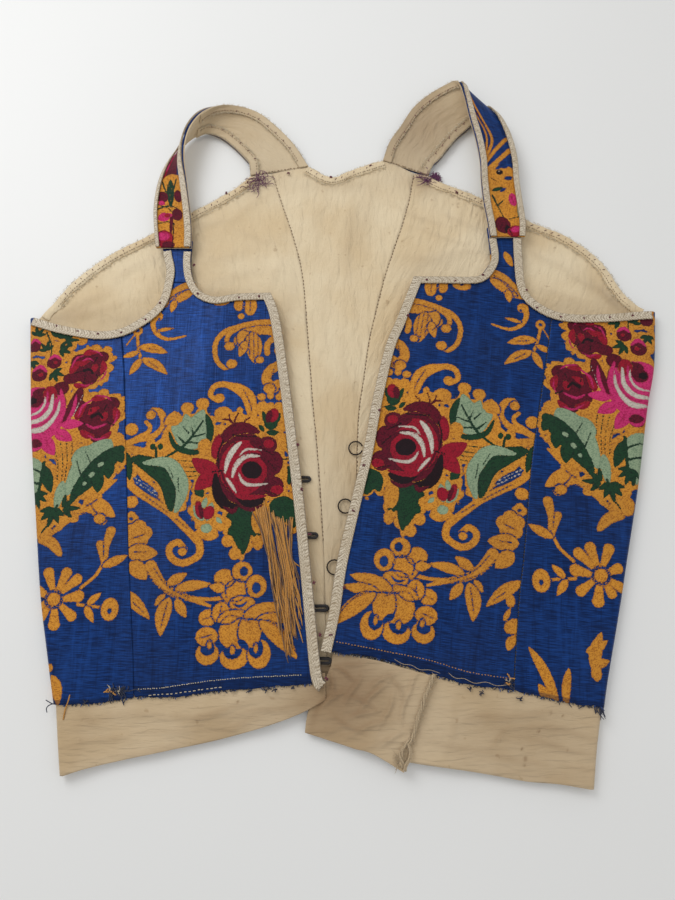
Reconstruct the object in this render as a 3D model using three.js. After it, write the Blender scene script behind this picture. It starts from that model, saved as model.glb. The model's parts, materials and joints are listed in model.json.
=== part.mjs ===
// A sleeveless brocade bodice laid flat on its back, fronts up.
// Millimetres. +X is to the viewer's right, +Y towards the shoulders, +Z up from the table.
// The origin is under the middle of the whole outline.
//
// The layers, from the table up: back brocade, back lining, the hollow with its hooks and eyes,
// front lining, front brocade, braid. Each side panel is one cloth that runs from the side-front
// seam round the fold to the side-back seam.

import * as THREE from 'three';

// ---------- driving dimensions ----------
const CLOTH = 1.0;            // thickness of one layer
const GAP = 0.3;              // between neighbouring pieces
const HOLLOW = 2.6;           // between the back lining and the front lining
const BRAID_WIDTH = 7;
const BRAID_THICK = 1.2;
const HEM_WIDTH = 6.5;        // seam allowances turned to the inside
const HEM_THICK = 0.8;
const WIRE = 1.0;             // hooks and eyes
const EYE_RADIUS = 4.6;       // to the middle of the wire
const HOOK_LENGTH = 15;
const HOOK_WIDTH = 2.6;       // between the two legs' middles

// rows of points up each panel, the same on both sides of every seam
const BROCADE_ROWS = 16;
const LINING_ROWS = 12;
const STRAP_STEPS = 30;

// undersides of the layers
const STEP = CLOTH + GAP;
const BACK_BROCADE = 0;
const BACK_LINING = STEP;
const FRONT_LINING = BACK_LINING + CLOTH + HOLLOW;
const FRONT_BROCADE = FRONT_LINING + STEP;
const BRAID = FRONT_BROCADE + STEP;
const WIRE_MIDDLE = BACK_LINING + CLOTH + 1.7;

// the fold at the sides: half circles about one line
const FOLD_MIDDLE = (FRONT_BROCADE + CLOTH) / 2;
const BROCADE_RADIUS = FOLD_MIDDLE;
const LINING_RADIUS = FOLD_MIDDLE - STEP;

// ---------- outlines: rows of [x, y] ----------
const LEFT = {
  // outermost line of the fold, upward
  fold: [[-164, -246], [-167, -230], [-171, -207], [-179, -176], [-187, -143], [-196, -95],
    [-204, -52], [-209, -21], [-218, 45]],
  // side-front seam, upward
  seam: [[-123, -203], [-126, -176], [-133, -124], [-138, -81], [-143, -38], [-148, 6], [-153, 36]],
  // centre-front edge, upward
  centre: [[-10, -195], [-13, -188], [-18, -144], [-25, -82], [-34, -15], [-43, 43], [-50, 64]],
  // neck edge from the strap tab to the centre front
  neck: [[-108, 107], [-108, 89], [-106, 77], [-101, 67], [-94, 62], [-86, 60.5], [-73, 63], [-50, 64]],
  // front armhole from the strap tab to the fold
  armhole: [[-130, 107], [-127, 92], [-124.5, 82], [-125, 72], [-127, 60], [-132, 51], [-141, 43],
    [-153, 36], [-169, 34], [-192, 38], [-218, 45]],
  hem: [[-100, -203], [-74, -200], [-49, -198], [-18, -195.5]],
  sideHem: [[-140, -206], [-157, -207]],
  // back armhole from the fold to the strap
  backArmhole: [[-218, 45], [-204, 58], [-193, 74], [-178, 89], [-161, 102], [-139, 115], [-109, 135],
    [-93, 145], [-77, 157], [-68.3, 166]],
  // side-back seam, upward
  backSeam: [[-9, -190], [-12, -111], [-16, -54], [-20, -13], [-24, 37], [-28, 80], [-34, 108],
    [-44, 141], [-52.5, 169]],
  backHem: [[-130, -201], [-80, -195], [-40, -191]],
  bandBottom: [[-26, -213], [-48, -220.5], [-73, -227], [-98, -232], [-121, -236.5], [-147, -242]],
  bandEnd: [[-10, -205], [-10.5, -190]],
  bandBackBottom: [[-40, -212], [-80, -223], [-120, -234]],
};

const RIGHT = {
  fold: [[145, -253], [149, -232], [154.5, -209], [159, -192], [171, -151], [179, -122], [192, -75],
    [205, -22], [214, 10], [220, 50]],
  seam: [[101, -199.5], [105, -170], [109, -144], [115, -112], [123, -62], [133, -16], [141, 20], [147, 50]],
  centre: [[-13, -177], [-8, -154], [-3, -123], [8, -76], [14, -51], [21, -14], [30, 23], [38, 43], [51, 77]],
  neck: [[106, 118], [107, 92], [103, 83], [98, 78], [91, 76.5], [72, 76.5], [51, 77]],
  armhole: [[130, 118], [129, 92], [129, 74], [131, 64], [137, 56.5], [147, 50], [160, 47], [183, 47],
    [207, 49], [220, 50]],
  hem: [[71, -195.5], [38, -186], [19, -181]],
  sideHem: [[122, -204], [139, -207]],
  backArmhole: [[220, 50], [207, 58], [199, 68], [190, 87], [180, 100], [161, 115], [138, 126],
    [106, 145], [90, 153], [74, 160], [65.3, 166.5]],
  backSeam: [[7, -190], [9, -90], [11, -29], [15, 1], [19, 29], [26, 60], [33, 87], [43, 118],
    [50, 143], [55, 169]],
  backHem: [[110, -198], [60, -193], [30, -191]],
  bandBottom: [[43, -239.5], [69, -243], [88, -246], [106, -249], [125, -250.5]],
  bandEnd: [[30, -237], [30, -179]],
  bandBackBottom: [[40, -230], [80, -238], [115, -246]],
};

const BACK_NECK = [[-25, 174.3], [-12, 166], [-4, 165], [8, 171], [31.5, 180]];
const TAB_FOOT = { left: 73, right: 86 };   // y where each strap tab joins its front
const TAB_TOP = { left: 107, right: 118 };
const BAND_LAP = 5;                         // how far the waist band runs up under the brocade
const FOLD_LINE = { left: [-218, 45, 0.186], right: [220, 50, 0.2475] };   // top x and y, lean
const CENTRE_BACK = { bottom: -205, top: -186 };

// a loose piece of the band that comes out from under the right front
const UNDERLAP = {
  left: [[-22, -223], [-20, -211], [-12.5, -197], [-7, -186], [-6, -178]],
  right: [[35, -244], [38, -231], [41, -226], [45, -213], [55, -192]],
  bottom: [[-7, -227.5], [5, -231], [18, -234.5]],
  top: [[19, -182.5], [38, -187.5]],
};

// the straps, from the shoulder of the back to the front tab: the neck edge, then the arm edge
const STRAP_LEFT = [
  // [neck x, y, z], [arm x, y, z]
  [[-25.3, 175.3, 1.15], [-68.7, 167.1, 1.15]],
  [[-36, 193, 2.7], [-70, 177, 2.7]],
  [[-50, 210, 2.8], [-75, 184, 2.7]],
  [[-64, 222, 4], [-83, 193, 2.7]],
  [[-79, 226, 7], [-94, 202, 2.8]],
  [[-94, 223, 12], [-104, 205, 3]],
  [[-105, 213, 17], [-112, 203, 3]],
  [[-113, 197, 20], [-119, 197, 3.2]],
  [[-116, 181, 20.5], [-124, 187, 4]],
  [[-116, 168, 18.5], [-130, 174, 5.5]],
  [[-114, 155, 15.5], [-134, 160, 7.5]],
  [[-112, 142, 13], [-136, 146, 8.7]],
  [[-110, 128, 11], [-136.5, 130, 9]],
  [[-108.5, 113, 9], [-135, 114, 8.9]],
  [[-108, 100, 8.65], [-133, 100, 8.65]],
];
const STRAP_RIGHT = [
  [[31.8, 180.9, 1.15], [65.8, 167.4, 1.15]],
  [[37, 196, 2.7], [69, 175, 2.7]],
  [[46, 211, 2.7], [75, 182, 2.7]],
  [[56, 228, 2.8], [82, 192, 2.7]],
  [[68, 240, 3], [89, 201, 2.7]],
  [[80, 248, 4], [97, 209, 2.8]],
  [[88.5, 250, 7.5], [106, 218, 3.6]],
  [[91.5, 246, 11.5], [113, 222, 7]],
  [[94, 232, 14], [120, 215, 9.5]],
  [[97, 211, 14], [125.5, 203, 10]],
  [[101, 190, 13], [129, 190, 9.8]],
  [[103, 172, 12], [131, 174, 9.6]],
  [[103, 154, 11], [131, 157, 9.4]],
  [[104, 137, 10], [132, 138, 9]],
  [[106, 121, 8.9], [133, 121, 8.8]],
  [[107, 109, 8.65], [132, 109, 8.65]],
];

// soft creases: middle x, y, turn in degrees, half length, half width, height
const FRONT_CREASES = [
  [-90, 20, 80, 60, 14, 0.9], [-60, -70, 95, 70, 12, 0.7], [-105, -130, 100, 60, 10, 0.8],
  [-45, -160, 20, 40, 10, 0.7], [-175, -60, 97, 80, 9, 0.8], [-150, -150, 100, 45, 8, 0.6],
  [80, 30, 95, 60, 14, 0.9], [50, -60, 85, 70, 12, 0.7], [90, -130, 80, 55, 10, 0.8],
  [35, -140, 160, 40, 10, 0.7], [170, -50, 83, 80, 9, 0.8], [140, -140, 80, 45, 8, 0.6],
];
const BACK_CREASES = [
  [-100, 90, 30, 60, 12, 0.7], [-60, 60, 60, 50, 9, 0.6], [0, 90, 88, 60, 10, 0.7],
  [5, 20, 95, 50, 6, 0.5], [90, 100, 150, 55, 12, 0.7], [60, 110, 115, 45, 8, 0.5],
  [-150, 70, 35, 35, 9, 0.6], [165, 85, 140, 35, 9, 0.6],
];
const UNDERLAP_CREASES = [
  [0, -200, 140, 16, 4, 1.1], [20, -208, 35, 18, 4, 0.9], [34, -222, 75, 14, 4, 1.0],
  [8, -222, 10, 20, 4, 0.8],
];

// hooks: tip on the left front; eyes: middle of the ring on the right front
const HOOKS = [[-22, -70], [-17.5, -107], [-12.5, -152], [-9, -183]];
const EYES = [[9, -49], [2, -88], [-5, -127], [-3, -163]];

// ---------- colours ----------
const brocade = { color: 0x1d4595, roughness: 0.45, metalness: 0 };
const cotton = { color: 0xcdb48c, roughness: 0.9, metalness: 0 };
const silverBraid = { color: 0xc8bea5, roughness: 0.5, metalness: 0.2 };
const darkWire = { color: 0x26221f, roughness: 0.4, metalness: 0.8 };

// ---------- helpers ----------
const smooth = (v) => THREE.MathUtils.smoothstep(v, 0, 1);
const flat = () => 0;
const spline = (rows) => new THREE.SplineCurve(rows.map(([x, y]) => new THREE.Vector2(x, y)));
const points = (rows, count) => spline(rows).getSpacedPoints(count).map((p) => [p.x, p.y]);
const shifted = (rows, dx, dy = 0) => rows.map(([x, y]) => [x + dx, y + dy]);
const backwards = (rows) => [...rows].reverse();

// the part of an upward edge between two heights
function between(rows, low, high) {
  const at = (y) => {
    const i = Math.max(1, rows.findIndex((row) => row[1] >= y));
    const [a, b] = [rows[i - 1], rows[i]];
    return [a[0] + (b[0] - a[0]) * (y - a[1]) / (b[1] - a[1]), y];
  };
  const inside = rows.filter((row) => row[1] > low + 1 && row[1] < high - 1);
  return [at(low), ...inside, at(high)];
}

// one edge made of several curves that meet in corners
function chain(...runs) {
  const path = new THREE.CurvePath();
  runs.forEach((rows) => path.add(spline(rows)));
  return path;
}

// a surface filled in between four edges; left and right run upward and give the corners,
// bottom and top are the points between them, or for a top with corners a whole curve
function patch(left, right, bottom, top) {
  const [L, R] = [spline(left), spline(right)];
  const B = spline([left[0], ...bottom, right[0]]);
  const T = Array.isArray(top) ? spline([left.at(-1), ...top, right.at(-1)]) : top;
  return (s, t) => {
    const [l, r, b, u] = [L.getPointAt(t), R.getPointAt(t), B.getPointAt(s), T.getPointAt(s)];
    const corner = (k) => (1 - t) * ((1 - s) * left[0][k] + s * right[0][k])
      + t * ((1 - s) * left.at(-1)[k] + s * right.at(-1)[k]);
    return [
      (1 - s) * l.x + s * r.x + (1 - t) * b.x + t * u.x - corner(0),
      (1 - s) * l.y + s * r.y + (1 - t) * b.y + t * u.y - corner(1),
    ];
  };
}

// height of the creases at a point
function creased(table) {
  return (x, y) => {
    let height = 0;
    for (const [cx, cy, turn, length, width, top] of table) {
      const a = THREE.MathUtils.degToRad(turn);
      const along = ((x - cx) * Math.cos(a) + (y - cy) * Math.sin(a)) / length;
      const across = (-(x - cx) * Math.sin(a) + (y - cy) * Math.cos(a)) / width;
      height += top * Math.exp(-along * along - across * across);
    }
    return Math.min(height, 1.2);
  };
}

// 0 at the side folds, 1 well inside them
function awayFromFolds(x, y) {
  const [lx, ly, leftLean] = FOLD_LINE.left;
  const [rx, ry, rightLean] = FOLD_LINE.right;
  const fromLeft = x - (lx + (ly - y) * leftLean);
  const fromRight = rx - (ry - y) * rightLean - x;
  return smooth((Math.min(fromLeft, fromRight) - 8) / 22);
}

const frontCreases = creased(FRONT_CREASES);
const backCreases = creased(BACK_CREASES);
const underlapCreases = creased(UNDERLAP_CREASES);
const frontLift = (x, y) => frontCreases(x, y) * awayFromFolds(x, y);
const backLift = (x, y) => backCreases(x, y) * awayFromFolds(x, y);
// below the brocade the band sinks towards the table
const bandDrop = (x, y) => -1.3 * smooth((-212 - y) / 14) * awayFromFolds(x, y);
const bandFrontDrop = (x, y) => bandDrop(x, y) * smooth(Math.max(-40 - x, x - 62) / 18);

// one closed body through rings of the same number of points, an even number round each ring
function loft(rings) {
  const n = rings[0].length;
  const vertices = rings.flat(2);
  const faces = [];
  const quad = (a, b, c, d) => faces.push(a, b, c, a, c, d);
  for (let r = 0; r < rings.length - 1; r += 1) {
    for (let i = 0; i < n; i += 1) {
      const j = (i + 1) % n;
      quad(r * n + i, r * n + j, (r + 1) * n + j, (r + 1) * n + i);
    }
  }
  const last = (rings.length - 1) * n;
  for (let i = 0; i < n / 2 - 1; i += 1) {
    quad(i, n - 1 - i, n - 2 - i, i + 1);
    quad(last + i, last + i + 1, last + n - 2 - i, last + n - 1 - i);
  }
  const geometry = new THREE.BufferGeometry();
  geometry.setAttribute('position', new THREE.Float32BufferAttribute(vertices, 3));
  geometry.setIndex(volume(vertices, faces) < 0 ? backwards(faces) : faces);
  geometry.computeVertexNormals();
  return geometry;
}

function volume(vertices, faces) {
  const at = (i) => new THREE.Vector3().fromArray(vertices, 3 * i);
  let total = 0;
  for (let f = 0; f < faces.length; f += 3) {
    total += at(faces[f]).dot(at(faces[f + 1]).cross(at(faces[f + 2])));
  }
  return total / 6;
}

// a flat wall of cloth on a patch
function sheet(place, columns, rows, base, lift = flat, thick = CLOTH) {
  const rings = [];
  for (let r = 0; r <= rows; r += 1) {
    const under = [];
    for (let c = 0; c <= columns; c += 1) {
      const [x, y] = place(c / columns, r / rows);
      under.push([x, y, base + lift(x, y)]);
    }
    const over = under.map(([x, y, z]) => [x, y, z + thick]);
    rings.push([...under, ...backwards(over)]);
  }
  return loft(rings);
}

// a wall that runs over the front, round the side fold and under the back
function foldedSheet(front, back, side, outer, counts, frontUp = flat, backUp = flat) {
  const surface = (radius, t) => {
    const line = [];
    for (let c = 0; c < counts.front; c += 1) {
      const [x, y] = front(c / counts.front, t);
      line.push([x, y, FOLD_MIDDLE + radius + frontUp(x, y)]);
    }
    const [foldX, foldY] = front(1, t);
    for (let c = 0; c <= counts.bend; c += 1) {
      const angle = Math.PI * (0.5 - c / counts.bend);
      line.push([foldX + side * radius * Math.cos(angle), foldY, FOLD_MIDDLE + radius * Math.sin(angle)]);
    }
    for (let c = 1; c <= counts.back; c += 1) {
      const [x, y] = back(c / counts.back, t);
      line.push([x, y, FOLD_MIDDLE - radius + backUp(x, y)]);
    }
    return line;
  };
  const rings = [];
  for (let r = 0; r <= counts.rows; r += 1) {
    const t = r / counts.rows;
    rings.push([...surface(outer, t), ...backwards(surface(outer - CLOTH, t))]);
  }
  return loft(rings);
}

// a strip along a path, reaching `width` to its left (side 1) or right (side -1)
function strip(path, side, width, height, thick) {
  const rings = path.map((here, i) => {
    const before = path[Math.max(i - 1, 0)];
    const after = path[Math.min(i + 1, path.length - 1)];
    const normals = [[before, here], [here, after]].map(([a, b]) => {
      const length = Math.hypot(b[0] - a[0], b[1] - a[1]);
      return length > 0 ? [-side * (b[1] - a[1]) / length, side * (b[0] - a[0]) / length] : null;
    }).filter(Boolean);
    const sum = normals.reduce((a, b) => [a[0] + b[0], a[1] + b[1]], [0, 0]);
    const size = Math.hypot(...sum);
    const [nx, ny] = [sum[0] / size, sum[1] / size];
    const mitre = width / Math.max(0.5, nx * normals[0][0] + ny * normals[0][1]);
    const inner = [here[0] + nx * mitre, here[1] + ny * mitre];
    const corner = ([x, y], up) => [x, y, height(x, y) + up];
    return [corner(here, 0), corner(inner, 0), corner(inner, thick), corner(here, thick)];
  });
  return loft(rings);
}

// a piece of a strap: across from the neck edge (0) to the arm edge (1) or in mm from either,
// and between two distances from the strap's middle surface, brocade side positive
function strapPiece(table, side, { from = 0, to = 1, near, far, across, columns = 2 }) {
  const curve = (k) => new THREE.CatmullRomCurve3(table.map((row) => new THREE.Vector3(...row[k])));
  const [neck, arm] = [curve(0), curve(1)];
  const middle = (t) => neck.getPoint(t).lerp(arm.getPoint(t), 0.5);
  const rings = [];
  for (let i = Math.round(from * STRAP_STEPS); i <= Math.round(to * STRAP_STEPS); i += 1) {
    const t = i / STRAP_STEPS;
    const [a, b] = [neck.getPoint(t), arm.getPoint(t)];
    const width = a.distanceTo(b);
    const run = middle(Math.min(t + 0.01, 1)).sub(middle(Math.max(t - 0.01, 0))).normalize();
    const normal = b.clone().sub(a).cross(run).normalize().multiplyScalar(-side);
    const [start, end] = across(width);
    const line = (offset) => Array.from({ length: columns + 1 }, (_, c) => (
      a.clone().lerp(b, (start + (end - start) * c / columns) / width)
        .addScaledVector(normal, offset).toArray()
    ));
    rings.push([...line(near), ...backwards(line(far))]);
  }
  return loft(rings);
}

// round wire through points
function wire(path) {
  const sides = 6;
  const rings = path.map(([x, y], i) => {
    const a = path[Math.max(i - 1, 0)];
    const b = path[Math.min(i + 1, path.length - 1)];
    const length = Math.hypot(b[0] - a[0], b[1] - a[1]);
    const [nx, ny] = [-(b[1] - a[1]) / length, (b[0] - a[0]) / length];
    return Array.from({ length: sides }, (_, k) => {
      const turn = 2 * Math.PI * (k + 0.5) / sides;
      const out = WIRE / 2 * Math.cos(turn);
      return [x + nx * out, y + ny * out, WIRE_MIDDLE + WIRE / 2 * Math.sin(turn)];
    });
  });
  return loft(rings);
}

const bodice = new THREE.Group();
bodice.name = 'bodice';

function add(name, geometry, finish) {
  const mesh = new THREE.Mesh(geometry, new THREE.MeshStandardMaterial(finish));
  mesh.name = name;
  bodice.add(mesh);
}

// ---------- the back ----------
function backCentre() {
  const left = shifted(LEFT.backSeam, GAP / 2);
  const right = shifted(RIGHT.backSeam, -GAP / 2);
  const place = patch(left, right, [[0, -190]], BACK_NECK);
  add('back_centre_brocade', sheet(place, 6, BROCADE_ROWS, BACK_BROCADE), brocade);

  const foot = CENTRE_BACK.top + GAP;
  const inner = patch(between(left, foot, left.at(-1)[1]), between(right, foot, right.at(-1)[1]),
    [[0, foot]], BACK_NECK);
  add('back_centre_lining', sheet(inner, 10, LINING_ROWS, BACK_LINING, backLift), cotton);
}

// ---------- the sides, round the folds ----------
// The patches end at the fold's middle line, one outer radius inside the outermost line.
function sidePanel(name, table, side) {
  const frontSeam = shifted(table.seam, side * GAP / 2);
  const backSeam = shifted(table.backSeam, side * GAP / 2);
  const top = table.fold.at(-1)[1];
  const armhole = table.armhole.filter(([x]) => side * x > side * frontSeam.at(-1)[0] + 1).slice(0, -1);
  const backArmhole = table.backArmhole.slice(1, -1);

  // the brocade, down to its own hem
  const foot = table.fold[2][1];
  const fold = shifted(between(table.fold, foot, top), -side * BROCADE_RADIUS);
  const shoulder = table.backArmhole.at(-1);
  const back = patch(fold, backSeam, table.backHem, [...backArmhole, shoulder]);
  const front = patch(frontSeam, fold, table.sideHem, armhole);
  add(`side_${name}_brocade`,
    foldedSheet(front, back, side, BROCADE_RADIUS,
      { front: 5, bend: 4, back: 7, rows: BROCADE_ROWS }, frontLift),
    brocade);

  // the lining, down to the top of the waist band
  const rise = BAND_LAP + GAP;
  const liningFold = shifted(between(table.fold, foot + rise, top), -side * BROCADE_RADIUS);
  const seamFoot = frontSeam[0][1] + rise;
  const liningSeam = between(frontSeam, seamFoot, frontSeam.at(-1)[1]);
  const liningBackSeam = between(backSeam, CENTRE_BACK.top + GAP, backSeam.at(-1)[1]);
  const liningBack = patch(liningFold, liningBackSeam, shifted(table.backHem, 0, rise),
    [...backArmhole, shoulder]);
  const liningFront = patch(liningSeam, liningFold, shifted(table.sideHem, 0, rise), armhole);
  add(`side_${name}_lining`,
    foldedSheet(liningFront, liningBack, side, LINING_RADIUS,
      { front: 3, bend: 4, back: 8, rows: LINING_ROWS }, flat, backLift),
    cotton);
}

// ---------- the fronts ----------
function frontPanel(name, table, side) {
  const foot = TAB_FOOT[name] - GAP;
  const neck = backwards(table.neck.filter(([, y]) => y < foot - 3).slice(0, -1));
  const armhole = table.armhole.filter(
    ([x, y]) => y < foot - 3 && side * x < side * table.seam.at(-1)[0] - 2);
  const [neckCorner, armCorner] = tabEdges(name, table).map((edge) => [edge[0][0], foot]);
  const seam = shifted(table.seam, -side * GAP / 2);
  const top = chain([table.centre.at(-1), ...neck, neckCorner], [neckCorner, armCorner],
    [armCorner, ...armhole, seam.at(-1)]);
  const place = patch(table.centre, seam, backwards(table.hem), top);
  add(`front_${name}_brocade`, sheet(place, 12, BROCADE_ROWS, FRONT_BROCADE, frontLift), brocade);

  const rise = BAND_LAP + GAP;
  const inner = patch(
    between(table.centre, table.centre[0][1] + rise, table.centre.at(-1)[1]),
    between(seam, seam[0][1] + rise, seam.at(-1)[1]),
    shifted(backwards(table.hem), 0, rise), top);
  add(`front_${name}_lining`, sheet(inner, 8, LINING_ROWS, FRONT_LINING), cotton);
}

// the two edges of a strap tab, upward: neck side, then arm side
function tabEdges(name, table) {
  const cut = (rows) => between(backwards(rows.filter((row) => row[1] > 50)), TAB_FOOT[name], TAB_TOP[name]);
  return [cut(table.neck), cut(table.armhole.slice(0, 5))];
}

function strapTab(name, table) {
  const [neckSide, armSide] = tabEdges(name, table);
  const place = patch(neckSide, armSide, [], []);
  add(`strap_tab_${name}`, sheet(place, 3, 6, FRONT_LINING, flat, STEP + CLOTH), brocade);
}

// ---------- the cotton band below the waist ----------
function waistBand(name, table, side) {
  const hemY = table.fold[2][1];
  const fold = shifted(between(table.fold, table.fold[0][1], hemY + BAND_LAP), -side * BROCADE_RADIUS);
  const pastEnd = backwards(table.hem).filter(([x]) => side * x > side * table.bandEnd[0][0] + 1);
  const top = shifted([...pastEnd, table.seam[0], ...table.sideHem], 0, BAND_LAP);
  const front = patch(table.bandEnd, fold, table.bandBottom, top);
  const centre = [[side * GAP / 2, CENTRE_BACK.bottom], [side * GAP / 2, CENTRE_BACK.top]];
  const back = patch(fold, centre, backwards(table.bandBackBottom), shifted(table.backHem, 0, BAND_LAP));
  add(`waist_band_${name}`,
    foldedSheet(front, back, side, LINING_RADIUS,
      { front: 12, bend: 4, back: 6, rows: 4 }, bandFrontDrop, bandDrop),
    cotton);
}

function underlap() {
  const place = patch(UNDERLAP.left, UNDERLAP.right, UNDERLAP.bottom, UNDERLAP.top);
  const low = BACK_LINING + CLOTH + 1.2;
  const rise = FRONT_BROCADE - low;
  const lift = (x, y) => rise * smooth((x + 4) / 26) + underlapCreases(x, y) * smooth((x + 2) / 12);
  add('underlap', sheet(place, 10, 9, low, lift), cotton);
}

// ---------- trimmings ----------
function braids(name, table, side) {
  const height = (x, y) => BRAID + frontLift(x, y);
  const tabStop = TAB_TOP[name] - 10;
  const neck = backwards(between(backwards(table.neck.slice(0, 4)), table.neck[3][1], tabStop));
  const neckEdge = points([...neck, ...table.neck.slice(4)], 14);
  const centreEdge = points(backwards(table.centre), 18).slice(1);
  add(`braid_neck_${name}`,
    strip([...neckEdge, ...centreEdge], side, BRAID_WIDTH, height, BRAID_THICK), silverBraid);

  const arm = backwards(between(backwards(table.armhole.slice(0, 4)), table.armhole[3][1], tabStop));
  const armEdge = points([...arm, ...table.armhole.slice(4, -1), foldEnd(table, side)], 20);
  add(`braid_armhole_${name}`,
    strip(armEdge, -side, BRAID_WIDTH, height, BRAID_THICK), silverBraid);
}

// where the braid stops, just inside the fold
function foldEnd(table, side) {
  const [x, y] = table.fold.at(-1);
  return [x - side * (BROCADE_RADIUS + 1), y - 0.6];
}

function turnedHems() {
  const height = (x, y) => BACK_LINING + STEP + backLift(x, y);
  const tables = { left: [LEFT, -1], right: [RIGHT, 1] };
  for (const [name, [table, side]] of Object.entries(tables)) {
    const [x, y] = table.backArmhole[0];
    const edge = [[x - side * 7, y + 3.5], ...table.backArmhole.slice(1)];
    add(`hem_armhole_${name}`, strip(points(edge, 16), side, HEM_WIDTH, height, HEM_THICK), cotton);
  }
  add('hem_neck', strip(points(BACK_NECK, 8), -1, HEM_WIDTH, height, HEM_THICK), cotton);
}

// ---------- straps ----------
function strap(name, table, side, hemStop) {
  const whole = (width) => [0, width];
  const half = GAP / 2;
  const outer = half + STEP;
  const piece = (options) => strapPiece(table, side, options);
  add(`strap_${name}_brocade`, piece({ near: half, far: half + CLOTH, across: whole }), brocade);
  add(`strap_${name}_lining`, piece({ near: -half, far: -half - CLOTH, across: whole }), cotton);

  const braid = { from: 0.1, near: outer, far: outer + BRAID_THICK, columns: 1 };
  add(`braid_strap_${name}_neck`, piece({ ...braid, across: () => [0, BRAID_WIDTH - 0.5] }), silverBraid);
  add(`braid_strap_${name}_arm`,
    piece({ ...braid, across: (width) => [width - BRAID_WIDTH + 0.5, width] }), silverBraid);

  const hem = { from: 0.04, to: hemStop, near: -outer, far: -outer - HEM_THICK, columns: 1 };
  add(`hem_strap_${name}_neck`, piece({ ...hem, across: () => [0, HEM_WIDTH] }), cotton);
  add(`hem_strap_${name}_arm`, piece({ ...hem, across: (width) => [width - HEM_WIDTH, width] }), cotton);
}

// ---------- hooks and eyes ----------
function fastenings() {
  HOOKS.forEach(([tipX, y], i) => {
    const half = HOOK_WIDTH / 2;
    const bend = Array.from({ length: 7 }, (_, k) => {
      const turn = Math.PI * (0.5 - k / 6);
      return [tipX - half - WIRE / 2 + half * Math.cos(turn), y + half * Math.sin(turn)];
    });
    const back = tipX - HOOK_LENGTH;
    add(`hook_${i + 1}`, wire([[back, y + half], ...bend, [back, y - half]]), darkWire);
  });
  EYES.forEach(([x, y], i) => {
    const ring = Array.from({ length: 15 }, (_, k) => {
      const turn = THREE.MathUtils.degToRad(20 + 320 * k / 14);
      return [x + EYE_RADIUS * Math.cos(turn), y + EYE_RADIUS * Math.sin(turn)];
    });
    add(`eye_${i + 1}`, wire(ring), darkWire);
  });
}

backCentre();
for (const [name, table, side] of [['left', LEFT, -1], ['right', RIGHT, 1]]) {
  sidePanel(name, table, side);
  frontPanel(name, table, side);
  strapTab(name, table);
  waistBand(name, table, side);
  braids(name, table, side);
}
underlap();
turnedHems();
strap('left', STRAP_LEFT, -1, 0.27);
strap('right', STRAP_RIGHT, 1, 0.36);
fastenings();

export default bodice;
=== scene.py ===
# %% [markdown]
# # A brocade bodice laid flat
# The garment is a sleeveless bodice of silk brocade with a cotton lining. It lies on its back with the
# fronts open, so the lining of the back shows between them. Every cloth is a thin shell that takes the
# form of its solid in the frame: the outline of a pattern piece, filled in between its four edges.

# %% The frame, and the box that the looks must stay in
import json
import math

import bpy
import numpy as np
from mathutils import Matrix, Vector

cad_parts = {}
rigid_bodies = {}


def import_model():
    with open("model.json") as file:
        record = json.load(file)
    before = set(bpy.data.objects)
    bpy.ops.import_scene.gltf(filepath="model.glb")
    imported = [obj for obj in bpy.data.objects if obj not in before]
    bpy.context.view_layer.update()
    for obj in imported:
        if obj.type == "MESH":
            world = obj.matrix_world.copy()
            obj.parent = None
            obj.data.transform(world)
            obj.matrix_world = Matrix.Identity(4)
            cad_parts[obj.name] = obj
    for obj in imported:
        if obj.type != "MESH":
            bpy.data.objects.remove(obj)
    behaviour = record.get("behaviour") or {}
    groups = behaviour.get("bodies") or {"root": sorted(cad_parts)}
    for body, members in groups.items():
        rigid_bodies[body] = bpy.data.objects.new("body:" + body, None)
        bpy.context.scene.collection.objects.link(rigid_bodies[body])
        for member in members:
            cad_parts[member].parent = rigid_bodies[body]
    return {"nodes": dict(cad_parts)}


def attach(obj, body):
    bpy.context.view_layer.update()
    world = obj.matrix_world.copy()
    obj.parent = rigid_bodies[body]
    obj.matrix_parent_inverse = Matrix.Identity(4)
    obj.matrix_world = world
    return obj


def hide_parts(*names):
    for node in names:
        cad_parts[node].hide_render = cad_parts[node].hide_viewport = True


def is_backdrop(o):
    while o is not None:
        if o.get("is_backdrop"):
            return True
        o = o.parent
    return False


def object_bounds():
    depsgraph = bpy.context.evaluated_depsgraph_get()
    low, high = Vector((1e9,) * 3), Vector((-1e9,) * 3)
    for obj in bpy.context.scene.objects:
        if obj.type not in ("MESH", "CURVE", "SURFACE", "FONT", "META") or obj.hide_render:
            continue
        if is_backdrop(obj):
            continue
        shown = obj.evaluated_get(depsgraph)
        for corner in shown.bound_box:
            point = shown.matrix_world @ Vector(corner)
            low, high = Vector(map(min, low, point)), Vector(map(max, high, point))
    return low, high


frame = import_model()
CAD_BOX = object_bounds()
MM = 0.001

# %% [markdown]
# ## Camera, light and surface
# The garment is seen from above its middle, with the camera tilted a little towards the shoulders. The
# light is that of a bright room: a pale sky all round, and one large soft lamp beyond the left
# shoulder, so that the light falls off towards the right and the waist. The surface is a plain pale
# floor just under the cloth. The standard view keeps the dyes as strong as they are.

# %% Camera
CAMERA_PLACE = (-3, -180.6, 430.3)      # mm
CAMERA_TILT = 17                        # degrees off straight down
LENS = 27.04                            # mm, on a 36 mm sensor


def deselect():
    bpy.ops.object.select_all(action="DESELECT")


deselect()
bpy.ops.object.camera_add(location=[v * MM for v in CAMERA_PLACE],
                          rotation=(math.radians(CAMERA_TILT), 0, 0))
camera = bpy.context.object
camera.name = "camera"
camera.data.lens = LENS
camera.data.sensor_width = 36
camera.data.clip_start = 0.01
bpy.context.scene.camera = camera
print("camera height", CAMERA_PLACE[2], "mm")

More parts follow.
